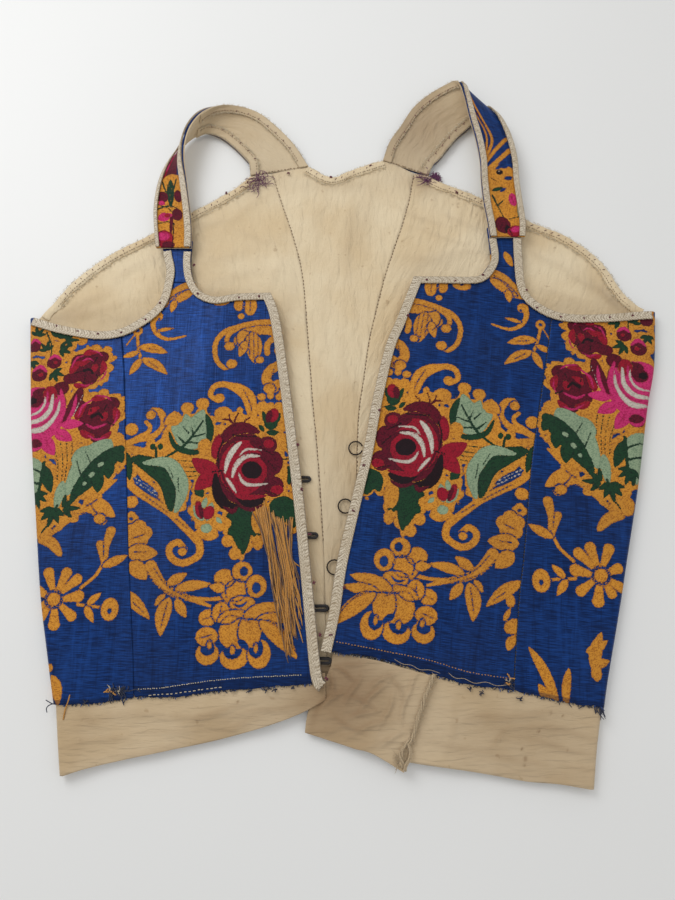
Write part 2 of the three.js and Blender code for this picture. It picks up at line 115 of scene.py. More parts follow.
# %% Light and floor
LAMP_PLACE = (-560, 520, 800)           # mm
LAMP_SIZE = 600
LAMP_POWER = 4.6                        # watts
SKY = (1.0, 0.985, 0.965)
SKY_STRENGTH = 0.66

bpy.ops.object.light_add(type="AREA", location=[v * MM for v in LAMP_PLACE])
lamp = bpy.context.object
lamp.name = "window_light"
lamp.data.size = LAMP_SIZE * MM
lamp.data.energy = LAMP_POWER
aim = -lamp.location.normalized()
lamp.rotation_euler = aim.to_track_quat("-Z", "Y").to_euler()

world = bpy.data.worlds.new("room")
bpy.context.scene.world = world
world.use_nodes = True
sky = world.node_tree.nodes["Background"].inputs
sky["Color"].default_value = (*SKY, 1)
sky["Strength"].default_value = SKY_STRENGTH
bpy.context.scene.view_settings.view_transform = "Standard"

bpy.ops.mesh.primitive_plane_add(size=4.0, location=(0, 0, -0.0001))
floor = bpy.context.object
floor.name = "floor"
floor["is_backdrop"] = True
print("lamp aims along", [round(v, 2) for v in aim])

# %% [markdown]
# ## Cutting a pattern piece
# A pattern piece is cut between four curves. Each curve runs through a few measured points, and its
# length is walked at an even pace, so that the two edges of a seam carry the same points. The inside
# is a Coons patch: the blend of the four edges. It works on whole arrays of points at once.


# %% Curves and patches
def listed(text, size=2):
    """a drawn-up table: plain numbers, `size` of them in each row"""
    numbers = [float(word) for word in text.split()]
    return [tuple(numbers[k:k + size]) for k in range(0, len(numbers), size)]


def outlines(text):
    """named lines with semicolons between them: each is a name, then its points"""
    parts = (part.split(maxsplit=1) for part in text.split(";"))
    return {name: listed(points) for name, points in parts}


def xy(place):
    return place[..., 0], place[..., 1]


def spline(rows, steps=16):
    """a smooth curve through points, as a dense line"""
    p = np.asarray(rows, float)
    padded = np.vstack([p[:1], p, p[-1:]])
    t = (np.arange(steps) / steps)[None, :, None]
    before, a, b, after = (padded[k:len(p) - 1 + k, None] for k in range(4))
    v0, v1 = (b - before) / 2, (after - a) / 2
    curve = (2 * a - 2 * b + v0 + v1) * t**3 + (3 * b - 3 * a - 2 * v0 - v1) * t**2 + v0 * t + a
    return np.vstack([curve.reshape(-1, p.shape[1]), p[-1:]])


def lengths_along(line):
    """how far along a dense line each of its points is"""
    return np.concatenate([[0], np.cumsum(np.linalg.norm(np.diff(line, axis=0), axis=1))])


def walk(line, u):
    """points on a dense line at the shares u of its length"""
    along = lengths_along(line)
    return np.stack([np.interp(np.asarray(u) * along[-1], along, column) for column in line.T], axis=-1)


def length_of(line):
    return np.linalg.norm(np.diff(line, axis=0), axis=1).sum()


def shifted(rows, dx, dy=0):
    return [(x + dx, y + dy) for x, y in rows]


def between(rows, low, high):
    """the part of an upward edge between two heights"""
    def at(y):
        i = max(1, next((k for k, row in enumerate(rows) if row[1] >= y), len(rows) - 1))
        (ax, ay), (bx, by) = rows[i - 1], rows[i]
        return (ax + (bx - ax) * (y - ay) / (by - ay), y)
    return [at(low), *[row for row in rows if low + 1 < row[1] < high - 1], at(high)]


def patch(left, right, bottom, top):
    """left and right run upward; bottom and top are the points between them, or top is a dense line"""
    L, R = spline(left), spline(right)
    B = spline([left[0], *bottom, right[0]])
    T = spline([left[-1], *top, right[-1]]) if isinstance(top, list) else top
    low_left, low_right, high_left, high_right = np.array([left[0], right[0], left[-1], right[-1]], float)

    def place(s, t):
        s, t = np.asarray(s)[None, :, None], np.asarray(t)[:, None, None]
        sides = (1 - s) * walk(L, t[:, 0, 0])[:, None] + s * walk(R, t[:, 0, 0])[:, None]
        ends = (1 - t) * walk(B, s[0, :, 0])[None] + t * walk(T, s[0, :, 0])[None]
        mean = (1 - t) * ((1 - s) * low_left + s * low_right) + t * ((1 - s) * high_left + s * high_right)
        return sides + ends - mean
    return place


def smooth(v):
    v = np.clip(v, 0, 1)
    return v * v * (3 - 2 * v)


def turned(x, y, cx, cy, degrees):
    """how far points are from a middle, along a line that leans and across it"""
    c, s = math.cos(math.radians(degrees)), math.sin(math.radians(degrees))
    return (x - cx) * c + (y - cy) * s, -(x - cx) * s + (y - cy) * c


print("a patch of a square, at its middle:", patch([(0, 0), (0, 1)], [(1, 0), (1, 1)], [], [])([0.5], [0.5]))

# %% [markdown]
# ## The measured outlines
# These are the garment's own sizes in millimetres, the same as those of the solids. The fold is the
# outermost line of each side, where the cloth turns round to the back.

# %% Outlines
CLOTH = 1.0
GAP = 0.3
STEP = CLOTH + GAP
BACK_LINING = STEP
FRONT_LINING = 4.9
FRONT_BROCADE = FRONT_LINING + STEP
BRAID = FRONT_BROCADE + STEP
BRAID_THICK = 1.2
HEM_WIDTH = 6.5
HEM_THICK = 0.8
FOLD_MIDDLE = (FRONT_BROCADE + CLOTH) / 2
BROCADE_RADIUS = FOLD_MIDDLE
LINING_RADIUS = FOLD_MIDDLE - STEP
BAND_LAP = 5

LEFT = outlines("""
fold -164 -246  -167 -230  -171 -207  -179 -176  -187 -143  -196 -95  -204 -52  -209 -21  -218 45;
seam -123 -203  -126 -176  -133 -124  -138 -81  -143 -38  -148 6  -153 36;
centre -10 -195  -13 -188  -18 -144  -25 -82  -34 -15  -43 43  -50 64;
neck -108 107  -108 89  -106 77  -101 67  -94 62  -86 60.5  -73 63  -50 64;
armhole -130 107  -127 92  -124.5 82  -125 72  -127 60  -132 51  -141 43  -153 36  -169 34  -192 38
-218 45;
hem -100 -203  -74 -200  -49 -198  -18 -195.5;
side_hem -140 -206  -157 -207;
back_armhole -218 45  -204 58  -193 74  -178 89  -161 102  -139 115  -109 135  -93 145  -77 157  -68.3 166;
back_seam -9 -190  -12 -111  -16 -54  -20 -13  -24 37  -28 80  -34 108  -44 141  -52.5 169;
back_hem -130 -201  -80 -195  -40 -191;
band_bottom -26 -213  -48 -220.5  -73 -227  -98 -232  -121 -236.5  -147 -242;
band_end -10 -205  -10.5 -190;
band_back_bottom -40 -212  -80 -223  -120 -234
""")
RIGHT = outlines("""
fold 145 -253  149 -232  154.5 -209  159 -192  171 -151  179 -122  192 -75  205 -22  214 10  220 50;
seam 101 -199.5  105 -170  109 -144  115 -112  123 -62  133 -16  141 20  147 50;
centre -13 -177  -8 -154  -3 -123  8 -76  14 -51  21 -14  30 23  38 43  51 77;
neck 106 118  107 92  103 83  98 78  91 76.5  72 76.5  51 77;
armhole 130 118  129 92  129 74  131 64  137 56.5  147 50  160 47  183 47  207 49  220 50;
hem 71 -195.5  38 -186  19 -181;
side_hem 122 -204  139 -207;
back_armhole 220 50  207 58  199 68  190 87  180 100  161 115  138 126  106 145  90 153  74 160
65.3 166.5;
back_seam 7 -190  9 -90  11 -29  15 1  19 29  26 60  33 87  43 118  50 143  55 169;
back_hem 110 -198  60 -193  30 -191;
band_bottom 43 -239.5  69 -243  88 -246  106 -249  125 -250.5;
band_end 30 -237  30 -179;
band_back_bottom 40 -230  80 -238  115 -246
""")
SIDES = {"left": (LEFT, -1), "right": (RIGHT, 1)}
BACK_NECK = listed("-25 174.3  -12 166  -4 165  8 171  31.5 180")
TAB_FOOT = {"left": 73, "right": 86}
TAB_TOP = {"left": 107, "right": 118}
CENTRE_BACK = (-205, -186)
FOLD_LINE = {-1: (-218, 45, 0.186), 1: (220, 50, 0.2475)}
UNDERLAP = outlines("""
left -22 -223  -20 -211  -12.5 -197  -7 -186  -6 -178;
right 35 -244  38 -231  41 -226  45 -213  55 -192;
bottom -7 -227.5  5 -231  18 -234.5;
top 19 -182.5  38 -187.5
""")
print("front seam, left:", round(length_of(spline(LEFT["seam"]))), "mm")

# %% Strap edges, from the shoulder of the back to the front tab
def stations(text):
    """rows of six numbers: x y z on the neck edge, then x y z on the arm edge"""
    return np.reshape(text.split(), (-1, 2, 3)).astype(float)


STRAPS = {
    "left": stations("""
-25.3 175.3 1.15 -68.7 167.1 1.15  -36 193 2.7 -70 177 2.7  -50 210 2.8 -75 184 2.7  -64 222 4 -83 193 2.7
-79 226 7 -94 202 2.8  -94 223 12 -104 205 3  -105 213 17 -112 203 3  -113 197 20 -119 197 3.2
-116 181 20.5 -124 187 4  -116 168 18.5 -130 174 5.5  -114 155 15.5 -134 160 7.5  -112 142 13 -136 146 8.7
-110 128 11 -136.5 130 9  -108.5 113 9 -135 114 8.9  -108 100 8.65 -133 100 8.65
"""),
    "right": stations("""
31.8 180.9 1.15 65.8 167.4 1.15  37 196 2.7 69 175 2.7  46 211 2.7 75 182 2.7  56 228 2.8 82 192 2.7
68 240 3 89 201 2.7  80 248 4 97 209 2.8  88.5 250 7.5 106 218 3.6  91.5 246 11.5 113 222 7
94 232 14 120 215 9.5  97 211 14 125.5 203 10  101 190 13 129 190 9.8  103 172 12 131 174 9.6
103 154 11 131 157 9.4  104 137 10 132 138 9  106 121 8.9 133 121 8.8  107 109 8.65 132 109 8.65
"""),
}
print("strap stations:", {name: len(rows) for name, rows in STRAPS.items()})

# %% [markdown]
# ## Soft folds
# Old cloth never lies quite flat. Each crease is a low ridge placed one by one: where its middle is, which
# way it runs, how long and wide it is and how high it stands. The first tables are the main creases of
# the solids, and the finer ones follow.

# %% Creases: x, y, turn in degrees, half length, half width, height
FRONT_CREASES = listed("""
-90 20 80 60 14 .9  -60 -70 95 70 12 .7  -105 -130 100 60 10 .8  -45 -160 20 40 10 .7  -175 -60 97 80 9 .8
-150 -150 100 45 8 .6  80 30 95 60 14 .9  50 -60 85 70 12 .7  90 -130 80 55 10 .8  35 -140 160 40 10 .7
170 -50 83 80 9 .8  140 -140 80 45 8 .6
""", 6)
BACK_CREASES = listed("""
-100 90 30 60 12 .7  -60 60 60 50 9 .6  0 90 88 60 10 .7  5 20 95 50 6 .5  90 100 150 55 12 .7
60 110 115 45 8 .5  -150 70 35 35 9 .6  165 85 140 35 9 .6
""", 6)
# the finer ones, of the linings that show
FINE_CREASES = listed("""
-95 122 24 24 2.6 .5  -118 104 33 20 2.4 .55  -86 96 12 22 2.8 .45  -62 112 -18 16 2.4 .5
-78 78 8 30 3.0 .5  -45 84 70 22 2.6 .4  -64 140 38 18 2.6 .55  -152 84 42 17 2.4 .6  -176 62 30 16 2.4 .6
-160 56 10 24 2.6 .5  -186 48 8 14 2.2 .6  -134 72 60 14 2.4 .5  -14 128 84 30 2.8 .4  6 110 92 34 2.6 .45
22 140 70 20 2.6 .4  -8 60 80 38 2.8 .4  4 10 96 34 2.4 .4  -6 -60 88 40 2.2 .35  58 130 -24 22 2.6 .55
76 112 -14 26 2.4 .5  92 98 -8 20 2.4 .5  64 96 4 24 2.8 .45  84 128 -38 16 2.4 .5  112 112 -30 20 2.6 .5
146 96 -34 18 2.4 .6  172 76 -42 18 2.4 .6  150 66 -8 20 2.6 .55  190 62 -50 12 2.2 .6
128 84 76 16 2.4 .4  60 150 30 14 2.4 .5
""", 6)
BAND_CREASES = listed("""
-120 -216 8 34 2.4 .8  -66 -210 6 26 1.8 .9  -100 -222 10 22 1.6 .7  -44 -211 14 20 1.6 .9
-140 -229 5 20 2.2 .7  -82 -216 20 12 1.4 .8  -150 -215 -30 9 2.0 .5  -60 -219 16 14 1.6 .7
-112 -232 14 26 1.8 .6  110 -214 -4 30 2.0 .8  124 -224 -9 26 1.8 .8  72 -232 -18 26 2.0 .8
126 -231 -6 24 1.6 .7  98 -240 -12 30 2.0 .6  80 -216 12 12 1.6 .7  64 -222 80 12 2.0 .5
92 -226 40 8 1.4 .7  140 -242 -4 16 1.8 .6
""", 6)
UNDERLAP_CREASES = listed("""
-14 -214 64 12 2.2 1.0  -7 -205 38 10 1.5 1.2  -6 -196 105 7 1.5 1.2  1 -190 150 8 1.5 1.1
7 -185 12 9 1.4 .9  6 -200 62 9 1.5 1.1  11 -206 -22 9 1.3 1.2  18 -203 48 12 1.4 1.2
12 -213 20 10 1.4 1.1  4 -219 150 10 1.6 1.0  17 -220 16 14 1.5 1.1  26 -211 66 9 1.4 1.2
24 -194 30 10 1.5 1.0  33 -199 118 8 1.5 1.1  36 -210 74 10 1.4 1.0  29 -226 24 10 1.5 1.0
42 -195 62 8 1.5 .9  -12 -223 14 9 1.6 .8  16 -230 8 14 1.8 .8  38 -226 100 8 1.5 .9
""", 6)


def creased(table, x, y):
    height = np.zeros(np.shape(x))
    for cx, cy, turn, length, width, top in table:
        along, across = turned(x, y, cx, cy, turn)
        along = along / length
        bow = 0.1 * length * np.sin(2.2 * along + cx) if width < 4 else 0
        height += top * np.exp(-along**2 - ((across + bow) / width)**2)
    return np.minimum(height, 1.2)


def away_from_folds(x, y):
    """0 at the side folds, 1 well inside them"""
    lx, ly, left_lean = FOLD_LINE[-1]
    rx, ry, right_lean = FOLD_LINE[1]
    inside = np.minimum(x - (lx + (ly - y) * left_lean), rx - (ry - y) * right_lean - x)
    return smooth((inside - 8) / 22)


def front_lift(x, y):
    return creased(FRONT_CREASES, x, y) * away_from_folds(x, y)


def back_lift(x, y):
    return (creased(BACK_CREASES, x, y) + 1.5 * creased(FINE_CREASES, x, y)) * away_from_folds(x, y)


def band_drop(x, y):
    return -1.3 * smooth((-212 - y) / 14) * away_from_folds(x, y)


def raw_edge(x, side):
    """the height of the brocade's raw edge above the waist band"""
    table = SIDES["left" if side < 0 else "right"][0]
    rows = sorted([table["fold"][2], *table["side_hem"], table["seam"][0], *table["hem"], table["centre"][0]])
    return np.interp(x, [row[0] for row in rows], [row[1] for row in rows])


def band_front_drop(x, y):
    drop = band_drop(x, y) * smooth(np.maximum(-40 - x, x - 62) / 18)
    hem = raw_edge(x, -1 if np.mean(x) < 0 else 1)
    return drop + creased(BAND_CREASES, x, y) * smooth((hem - 1 - y) / 3) * away_from_folds(x, y)


def no_lift(x, y):
    return np.zeros(np.shape(x))


print("front crease at (-90, 20):", round(float(front_lift(np.array(-90.0), np.array(20.0))), 2), "mm")

# %% [markdown]
# ## Finishes
# The shader groups below are shared. Each one reads a place on the cloth in millimetres, which every
# sheet carries as its own attribute "thread": across the cloth and along it. So a weave follows the
# cloth round its folds. The groups put out only masks, heights and values; the shaders stay in the
# materials.


# %% Small helpers for node trees
def node(tree, kind, sockets=None, **settings):
    made = tree.nodes.new("ShaderNode" + kind)
    for key, value in settings.items():
        setattr(made, key, value)
    for key, value in (sockets or {}).items():
        if isinstance(value, bpy.types.NodeSocket):
            tree.links.new(value, made.inputs[key])
        else:
            made.inputs[key].default_value = value
    return made


def maths(tree, operation, a, b=0.0, c=0.0):
    return node(tree, "Math", {0: a, 1: b, 2: c}, operation=operation).outputs[0]


def times(tree, a, b):
    return maths(tree, "MULTIPLY", a, b)


def stretch(tree, place, factors):
    return node(tree, "VectorMath", {0: place, 1: factors}, operation="MULTIPLY").outputs[0]


def blend(tree, share, a, b):
    return node(tree, "Mix", {0: share, 6: a, 7: b}, data_type="RGBA").outputs[2]


def tint(tree, colour, shade, share, strength):
    """a colour with a shade over it, as strong as the share says"""
    return blend(tree, times(tree, share, strength), colour, shade)


def ramp(tree, value, low, high):
    """0 below low, 1 above high, soft between"""
    return node(tree, "MapRange", {"Value": value, "From Min": low, "From Max": high},
                interpolation_type="SMOOTHSTEP").outputs["Result"]


def noise(tree, place, scale, detail, **more):
    return node(tree, "TexNoise", {"Vector": place, "Scale": scale, "Detail": detail, **more}).outputs["Fac"]


def chance_at(tree, place):
    """a random number for each whole step of a place"""
    cell = node(tree, "VectorMath", {0: place}, operation="FLOOR").outputs[0]
    return node(tree, "TexWhiteNoise", {"Vector": cell}, noise_dimensions="2D").outputs["Value"]


def carried(tree, name, output="Fac"):
    """what the mesh carries in one of its own attributes"""
    return node(tree, "Attribute", attribute_name=name).outputs[output]


def group(name, inputs, *outputs):
    """a group that reads the thread's place and some values, and puts out values"""
    tree = bpy.data.node_groups.new(name, "ShaderNodeTree")
    tree.interface.new_socket(name="Thread", in_out="INPUT", socket_type="NodeSocketVector")
    for label, value in inputs.items():
        socket = tree.interface.new_socket(name=label, in_out="INPUT", socket_type="NodeSocketFloat")
        socket.default_value = value
    for label in outputs:
        tree.interface.new_socket(name=label, in_out="OUTPUT", socket_type="NodeSocketFloat")
    return tree, tree.nodes.new("NodeGroupInput").outputs, tree.nodes.new("NodeGroupOutput").inputs


def use(tree, shared, place, sockets=None):
    return node(tree, "Group", {"Thread": place, **(sockets or {})}, node_tree=shared).outputs


def linear(red, green, blue):
    """a colour given as on a screen, 0 to 255, in linear light"""
    return (*[(v / 255 / 12.92) if v < 10 else ((v / 255 + 0.055) / 1.055) ** 2.4
              for v in (red, green, blue)], 1.0)


print("mid grey in linear light:", [round(v, 3) for v in linear(128, 128, 128)])

# %% Shared group: a plain weave of two threads
WEAVE, ins, outs = group("plain weave", {"Across per mm": 2.0, "Along per mm": 2.0}, "Height", "Tone")
parts = node(WEAVE, "SeparateXYZ", {0: ins["Thread"]}).outputs
wobble = noise(WEAVE, ins["Thread"], 0.35, 2.0)
waves = []
for axis, pace in (("X", "Across per mm"), ("Y", "Along per mm")):
    count = times(WEAVE, maths(WEAVE, "ADD", parts[axis], wobble), ins[pace])
    waves.append(maths(WEAVE, "SINE", times(WEAVE, count, 2 * math.pi)))
WEAVE.links.new(maths(WEAVE, "MULTIPLY_ADD", times(WEAVE, *waves), 0.5, 0.5), outs["Height"])
WEAVE.links.new(noise(WEAVE, stretch(WEAVE, ins["Thread"], (0.15, 2.4, 1)), 1.0, 1.0), outs["Tone"])
print("weave group:", len(WEAVE.nodes), "nodes")

# %% Shared group: where one yarn covers another, thread by thread
YARN_EDGE, ins, outs = group("yarn edge", {"Inside": 0.0, "Rag": 0.5}, "Mask")
chance = chance_at(YARN_EDGE, stretch(YARN_EDGE, ins["Thread"], (1.2, 2.0, 1)))
push = times(YARN_EDGE, maths(YARN_EDGE, "SUBTRACT", chance, 0.5), ins["Rag"])
edge = ramp(YARN_EDGE, maths(YARN_EDGE, "ADD", ins["Inside"], push), -0.12, 0.12)
YARN_EDGE.links.new(edge, outs["Mask"])
print("yarn edge group:", len(YARN_EDGE.nodes), "nodes")

# %% Shared group: age, as soft blotches and small stains
AGE, ins, outs = group("age", {"Size": 60.0}, "Blotch", "Spot")
blotch = noise(AGE, ins["Thread"], maths(AGE, "DIVIDE", 1.0, ins["Size"]), 4.0)
AGE.links.new(ramp(AGE, blotch, 0.35, 0.68), outs["Blotch"])
AGE.links.new(ramp(AGE, noise(AGE, ins["Thread"], 0.16, 3.0), 0.66, 0.74), outs["Spot"])
print("age group:", len(AGE.nodes), "nodes")

# %% Shared group: fine crinkles that run one way
CRINKLE, ins, outs = group("crinkle", {"Across mm": 6.0, "Along mm": 30.0}, "Height")
parts = node(CRINKLE, "SeparateXYZ", {0: ins["Thread"]}).outputs
long_way = node(CRINKLE, "CombineXYZ", {0: maths(CRINKLE, "DIVIDE", parts["X"], ins["Across mm"]),
                                        1: maths(CRINKLE, "DIVIDE", parts["Y"], ins["Along mm"])}).outputs[0]
CRINKLE.links.new(noise(CRINKLE, long_way, 1.0, 3.0, Distortion=0.4), outs["Height"])
print("crinkle group:", len(CRINKLE.nodes), "nodes")

# %% Shared group: flecks, each a little slanted, as of a twill
FLECKS, ins, outs = group("flecks", {}, "Fleck")
parts = node(FLECKS, "SeparateXYZ", {0: ins["Thread"]}).outputs
slanted = node(FLECKS, "CombineXYZ", {
    0: maths(FLECKS, "MULTIPLY_ADD", parts["Y"], 0.8, times(FLECKS, parts["X"], 1.5)),
    1: times(FLECKS, parts["Y"], 1.7)}).outputs[0]
single = times(FLECKS, chance_at(FLECKS, slanted), 0.75)
mixed = maths(FLECKS, "MULTIPLY_ADD", noise(FLECKS, ins["Thread"], 0.25, 2.0), 0.4, single)
FLECKS.links.new(ramp(FLECKS, mixed, 0.12, 0.7), outs["Fleck"])
print("flecks group:", len(FLECKS.nodes), "nodes")

# %% [markdown]
# ## The brocade
# On a blue silk ground the pattern is woven in coloured yarns that lie on top: gold for scrolls and
# open flowers, and crimson, maroon, pink, white and two greens for the roses. Each yarn is one number
# at each point of the cloth: how far, in millimetres, the point is inside that yarn's area. The shader
# turns the number into an edge that steps from thread to thread, as a woven edge does.

# %% The brocade's colours and material
YARNS = {                               # colour, its darker flecks, how high the yarn stands
    "gold": (linear(214, 147, 50), linear(166, 102, 32), 0.9),
    "sage": (linear(150, 170, 138), linear(112, 136, 110), 0.7),
    "leaf": (linear(24, 64, 38), linear(12, 38, 26), 0.6),
    "crimson": (linear(158, 16, 42), linear(112, 6, 28), 0.7),
    "maroon": (linear(98, 8, 34), linear(62, 4, 22), 0.65),
    "pink": (linear(208, 50, 116), linear(166, 20, 78), 0.8),
    "white": (linear(214, 206, 194), linear(172, 160, 150), 0.8),
    "ink": (linear(32, 10, 18), linear(16, 8, 12), 0.5),
}
GROUND = linear(12, 46, 102)
GROUND_PALE = linear(28, 76, 154)
GROUND_DARK = linear(6, 22, 56)
HEM_DARK = linear(8, 22, 50)
GRIME = (0.02, 0.02, 0.03, 1)


def new_material(name, roughness, sheen=0.0, metallic=0.0):
    material = bpy.data.materials.new(name)
    material.use_nodes = True
    shader = material.node_tree.nodes["Principled BSDF"]
    for socket, value in (("Roughness", roughness), ("Sheen Weight", sheen), ("Sheen Roughness", 0.5),
                          ("Metallic", metallic)):
        shader.inputs[socket].default_value = value
    return material, material.node_tree, shader


def finish(tree, shader, colour, height, distance, strength):
    """the colour, and a relief `distance` mm deep"""
    tree.links.new(colour, shader.inputs["Base Color"])
    relief = node(tree, "Bump", {"Height": height, "Distance": distance * MM, "Strength": strength})
    tree.links.new(relief.outputs["Normal"], shader.inputs["Normal"])


def brocade_material():
    material, tree, shader = new_material("silk brocade", 0.4)
    shader.inputs["Specular IOR Level"].default_value = 0.2
    place = carried(tree, "thread", "Vector")
    weave = use(tree, WEAVE, place, {"Across per mm": 1.1, "Along per mm": 1.5})["Height"]
    weft, ribs, long_crinkles = (use(tree, CRINKLE, place, {"Across mm": across, "Along mm": along})["Height"]
                        for across, along in ((9.0, 0.55), (0.8, 22.0), (5.0, 42.0)))
    blotch = use(tree, AGE, place, {"Size": 45.0})["Blotch"]
    fleck = use(tree, FLECKS, place)["Fleck"]

    colour = blend(tree, ramp(tree, weft, 0.36, 0.66), GROUND_DARK, GROUND_PALE)
    colour = blend(tree, 0.5, colour, GROUND)
    colour = tint(tree, colour, GROUND_DARK, ramp(tree, ribs, 0.5, 0.72), 0.4)
    # darker in the hollows of the long crinkles and paler on their ridges: painted shade and highlight
    colour = tint(tree, colour, GROUND_DARK, ramp(tree, long_crinkles, 0.54, 0.72), 0.4)
    colour = tint(tree, colour, GROUND_PALE, ramp(tree, long_crinkles, 0.46, 0.3), 0.3)
    raised = maths(tree, "MULTIPLY_ADD", weft, 0.3, times(tree, ribs, 0.25))
    covered = 0.0
    for yarn, (shade, dark, rise) in YARNS.items():
        inside = carried(tree, yarn)
        mask = use(tree, YARN_EDGE, place, {"Inside": inside})["Mask"]
        look = tint(tree, blend(tree, fleck, dark, shade), dark, ramp(tree, inside, 0.9, 0.1), 0.55)
        colour = blend(tree, mask, colour, look)
        top = maths(tree, "MULTIPLY_ADD", weave, 0.4, rise)
        raised = node(tree, "Mix", {0: mask, 2: raised, 3: top}, data_type="FLOAT").outputs[0]
        covered = maths(tree, "MAXIMUM", mask, covered)
    colour = tint(tree, colour, GRIME, blotch, 0.16)
    colour = tint(tree, colour, HEM_DARK, ramp(tree, carried(tree, "hem"), 0.3, 1.2), 0.52)
    tree.links.new(maths(tree, "MULTIPLY_ADD", covered, -0.35, 0.5), shader.inputs["Metallic"])
    tree.links.new(maths(tree, "MULTIPLY_ADD", covered, 0.18, 0.4), shader.inputs["Roughness"])
    finish(tree, shader, colour, maths(tree, "MULTIPLY_ADD", long_crinkles, -1.2, raised), 0.4, 0.9)
    return material


BROCADE = brocade_material()
print("brocade material:", len(BROCADE.node_tree.nodes), "nodes")

# %% [markdown]
# The lining is an unbleached cotton that has gone uneven with age: warm blotches, small stains, a fine
# plain weave and soft creases. Its stain layer also carries painted shade along the creases and where
# the fronts lie over the back. The band at the waist is the same cloth, a little coarser and yellower.


# %% Cotton, braid, sewing thread and wire
STAIN_AND_SHADE_COLOUR = linear(124, 94, 62)


def cotton_material(name, pale, warm, crinkle_across, crinkle_along, depth):
    material, tree, shader = new_material(name, 0.92, sheen=0.25)
    place = carried(tree, "thread", "Vector")
    weave = use(tree, WEAVE, place, {"Across per mm": 1.0, "Along per mm": 1.0})
    age = use(tree, AGE, place, {"Size": 70.0})
    folds = use(tree, CRINKLE, place, {"Across mm": crinkle_across, "Along mm": crinkle_along})["Height"]
    colour = blend(tree, age["Blotch"], pale, warm)
    colour = tint(tree, colour, linear(140, 104, 66), age["Spot"], 0.35)
    colour = tint(tree, colour, linear(178, 148, 108), weave["Tone"], 0.22)
    # browner where the stain layer says: real stains, and painted shade along the creases and under the
    # fronts' edges
    colour = tint(tree, colour, STAIN_AND_SHADE_COLOUR, carried(tree, "stain_and_shade"), 0.8)
    relief = maths(tree, "MULTIPLY_ADD", weave["Height"], 0.1, times(tree, folds, depth))
    finish(tree, shader, colour, relief, 1.0, 0.8)
    return material


def yarn_material(name, *shade):
    material, tree, shader = new_material(name, 0.7, sheen=0.2)
    fibre = noise(tree, node(tree, "TexCoord").outputs["Object"], 2500.0, 2.0)
    pale = linear(*shade)
    dark = [v * 0.55 for v in pale[:3]] + [1]
    finish(tree, shader, blend(tree, ramp(tree, fibre, 0.3, 0.65), dark, pale), fibre, 0.15, 0.6)
    return material


def braid_material():
    material, tree, shader = new_material("silver braid", 0.5, sheen=0.15)
    place = carried(tree, "thread", "Vector")
    # the gaps between the raised ribs, and the braid's edges, are painted darker: painted shade in the
    # recesses
    colour = blend(tree, carried(tree, "ridge"), linear(140, 122, 96), linear(222, 211, 190))
    colour = tint(tree, colour, linear(178, 156, 120), use(tree, AGE, place, {"Size": 25.0})["Blotch"], 0.3)
    colour = tint(tree, colour, linear(112, 94, 72), ramp(tree, noise(tree, place, 1.9, 3.0), 0.5, 0.62), 0.6)
    finish(tree, shader, colour, noise(tree, place, 3.0, 2.0), 0.2, 0.5)
    return material


def wire_material():
    material, tree, shader = new_material("dark wire", 0.42, metallic=0.6)
    rust = noise(tree, node(tree, "TexCoord").outputs["Object"], 700.0, 4.0)
    colour = blend(tree, ramp(tree, rust, 0.45, 0.7), linear(30, 27, 26), linear(62, 42, 32))
    finish(tree, shader, colour, rust, 0.08, 0.5)
    return material


FINISHES = {                            # by the slot of the cloth
    "brocade": BROCADE,
    "lining": cotton_material("lining cotton", linear(230, 214, 182), linear(216, 194, 156), 5.0, 16.0, 2.6),
    "band": cotton_material("band cotton", linear(210, 190, 158), linear(190, 166, 130), 18.0, 3.4, 2.4),
    "braid": braid_material(),
}
WIRE = wire_material()
SEWING = {
    "cream": yarn_material("cream thread", 222, 208, 178),
    "tan": yarn_material("unbleached thread", 198, 176, 142),
    "brown": yarn_material("brown thread", 122, 88, 60),
    "maroon": yarn_material("maroon thread", 104, 22, 48),
    "purple": yarn_material("purple thread", 104, 38, 90),
    "blue": yarn_material("blue thread", 38, 78, 150),
    "navy": yarn_material("dark blue thread", 22, 34, 66),
    "gold": yarn_material("gold thread", 206, 146, 62),
    "black": yarn_material("black thread", 34, 30, 32),
}
print("materials:", len(bpy.data.materials))

# %% Floor finish
floor_material, tree, shader = new_material("pale floor", 0.55)
grain = noise(tree, node(tree, "TexCoord").outputs["Object"], 3.0, 3.0)
tree.links.new(blend(tree, grain, linear(230, 232, 232), linear(237, 238, 238)), shader.inputs["Base Color"])
floor.data.materials.append(floor_material)

# %% [markdown]
# ## The pattern
# The pattern is a common one for such silks: a rose on a gold ground among scrolls, sprigs and open
# flowers. It is laid out here in whole millimetres on the left front and the left side, shape by shape:
# a leaf from its base to its tip, a spot, a scalloped bloom, or a stroke through a few points. The
# right half is the same cloth turned over.

# %% Shapes of the pattern, as distances inside their edges, in mm
PAD = 7.0                               # how far round a shape its distance is worked out
DASH = 1.3                              # mm, each dash of a broken line


def leaf_inside(x, y, x0, y0, x1, y1, width, bend=0.0):
    length = math.hypot(x1 - x0, y1 - y0)
    ux, uy = (x1 - x0) / length, (y1 - y0) / length
    along = ((x - x0) * ux + (y - y0) * uy) / length
    across = -(x - x0) * uy + (y - y0) * ux
    share = np.clip(along, 0, 1)
    inside = width / 2 * np.sin(np.pi * share**0.8) ** 0.75 - np.abs(across - 4 * bend * share * (1 - share))
    beyond = np.maximum(-along, along - 1) * length
    return np.where(beyond > 0, -np.hypot(beyond, across), inside)


def spot_inside(x, y, cx, cy, rx, ry, turn=0.0):
    u, v = turned(x, y, cx, cy, turn)
    return (1 - np.hypot(u / rx, v / ry)) * min(rx, ry)


def bloom_inside(x, y, cx, cy, radius, petals, depth, turn=0.0):
    angle = np.arctan2(y - cy, x - cx) - math.radians(turn)
    edge = radius * (1 - depth * (1 - np.abs(np.cos(petals * angle / 2))))
    return edge - np.hypot(x - cx, y - cy)


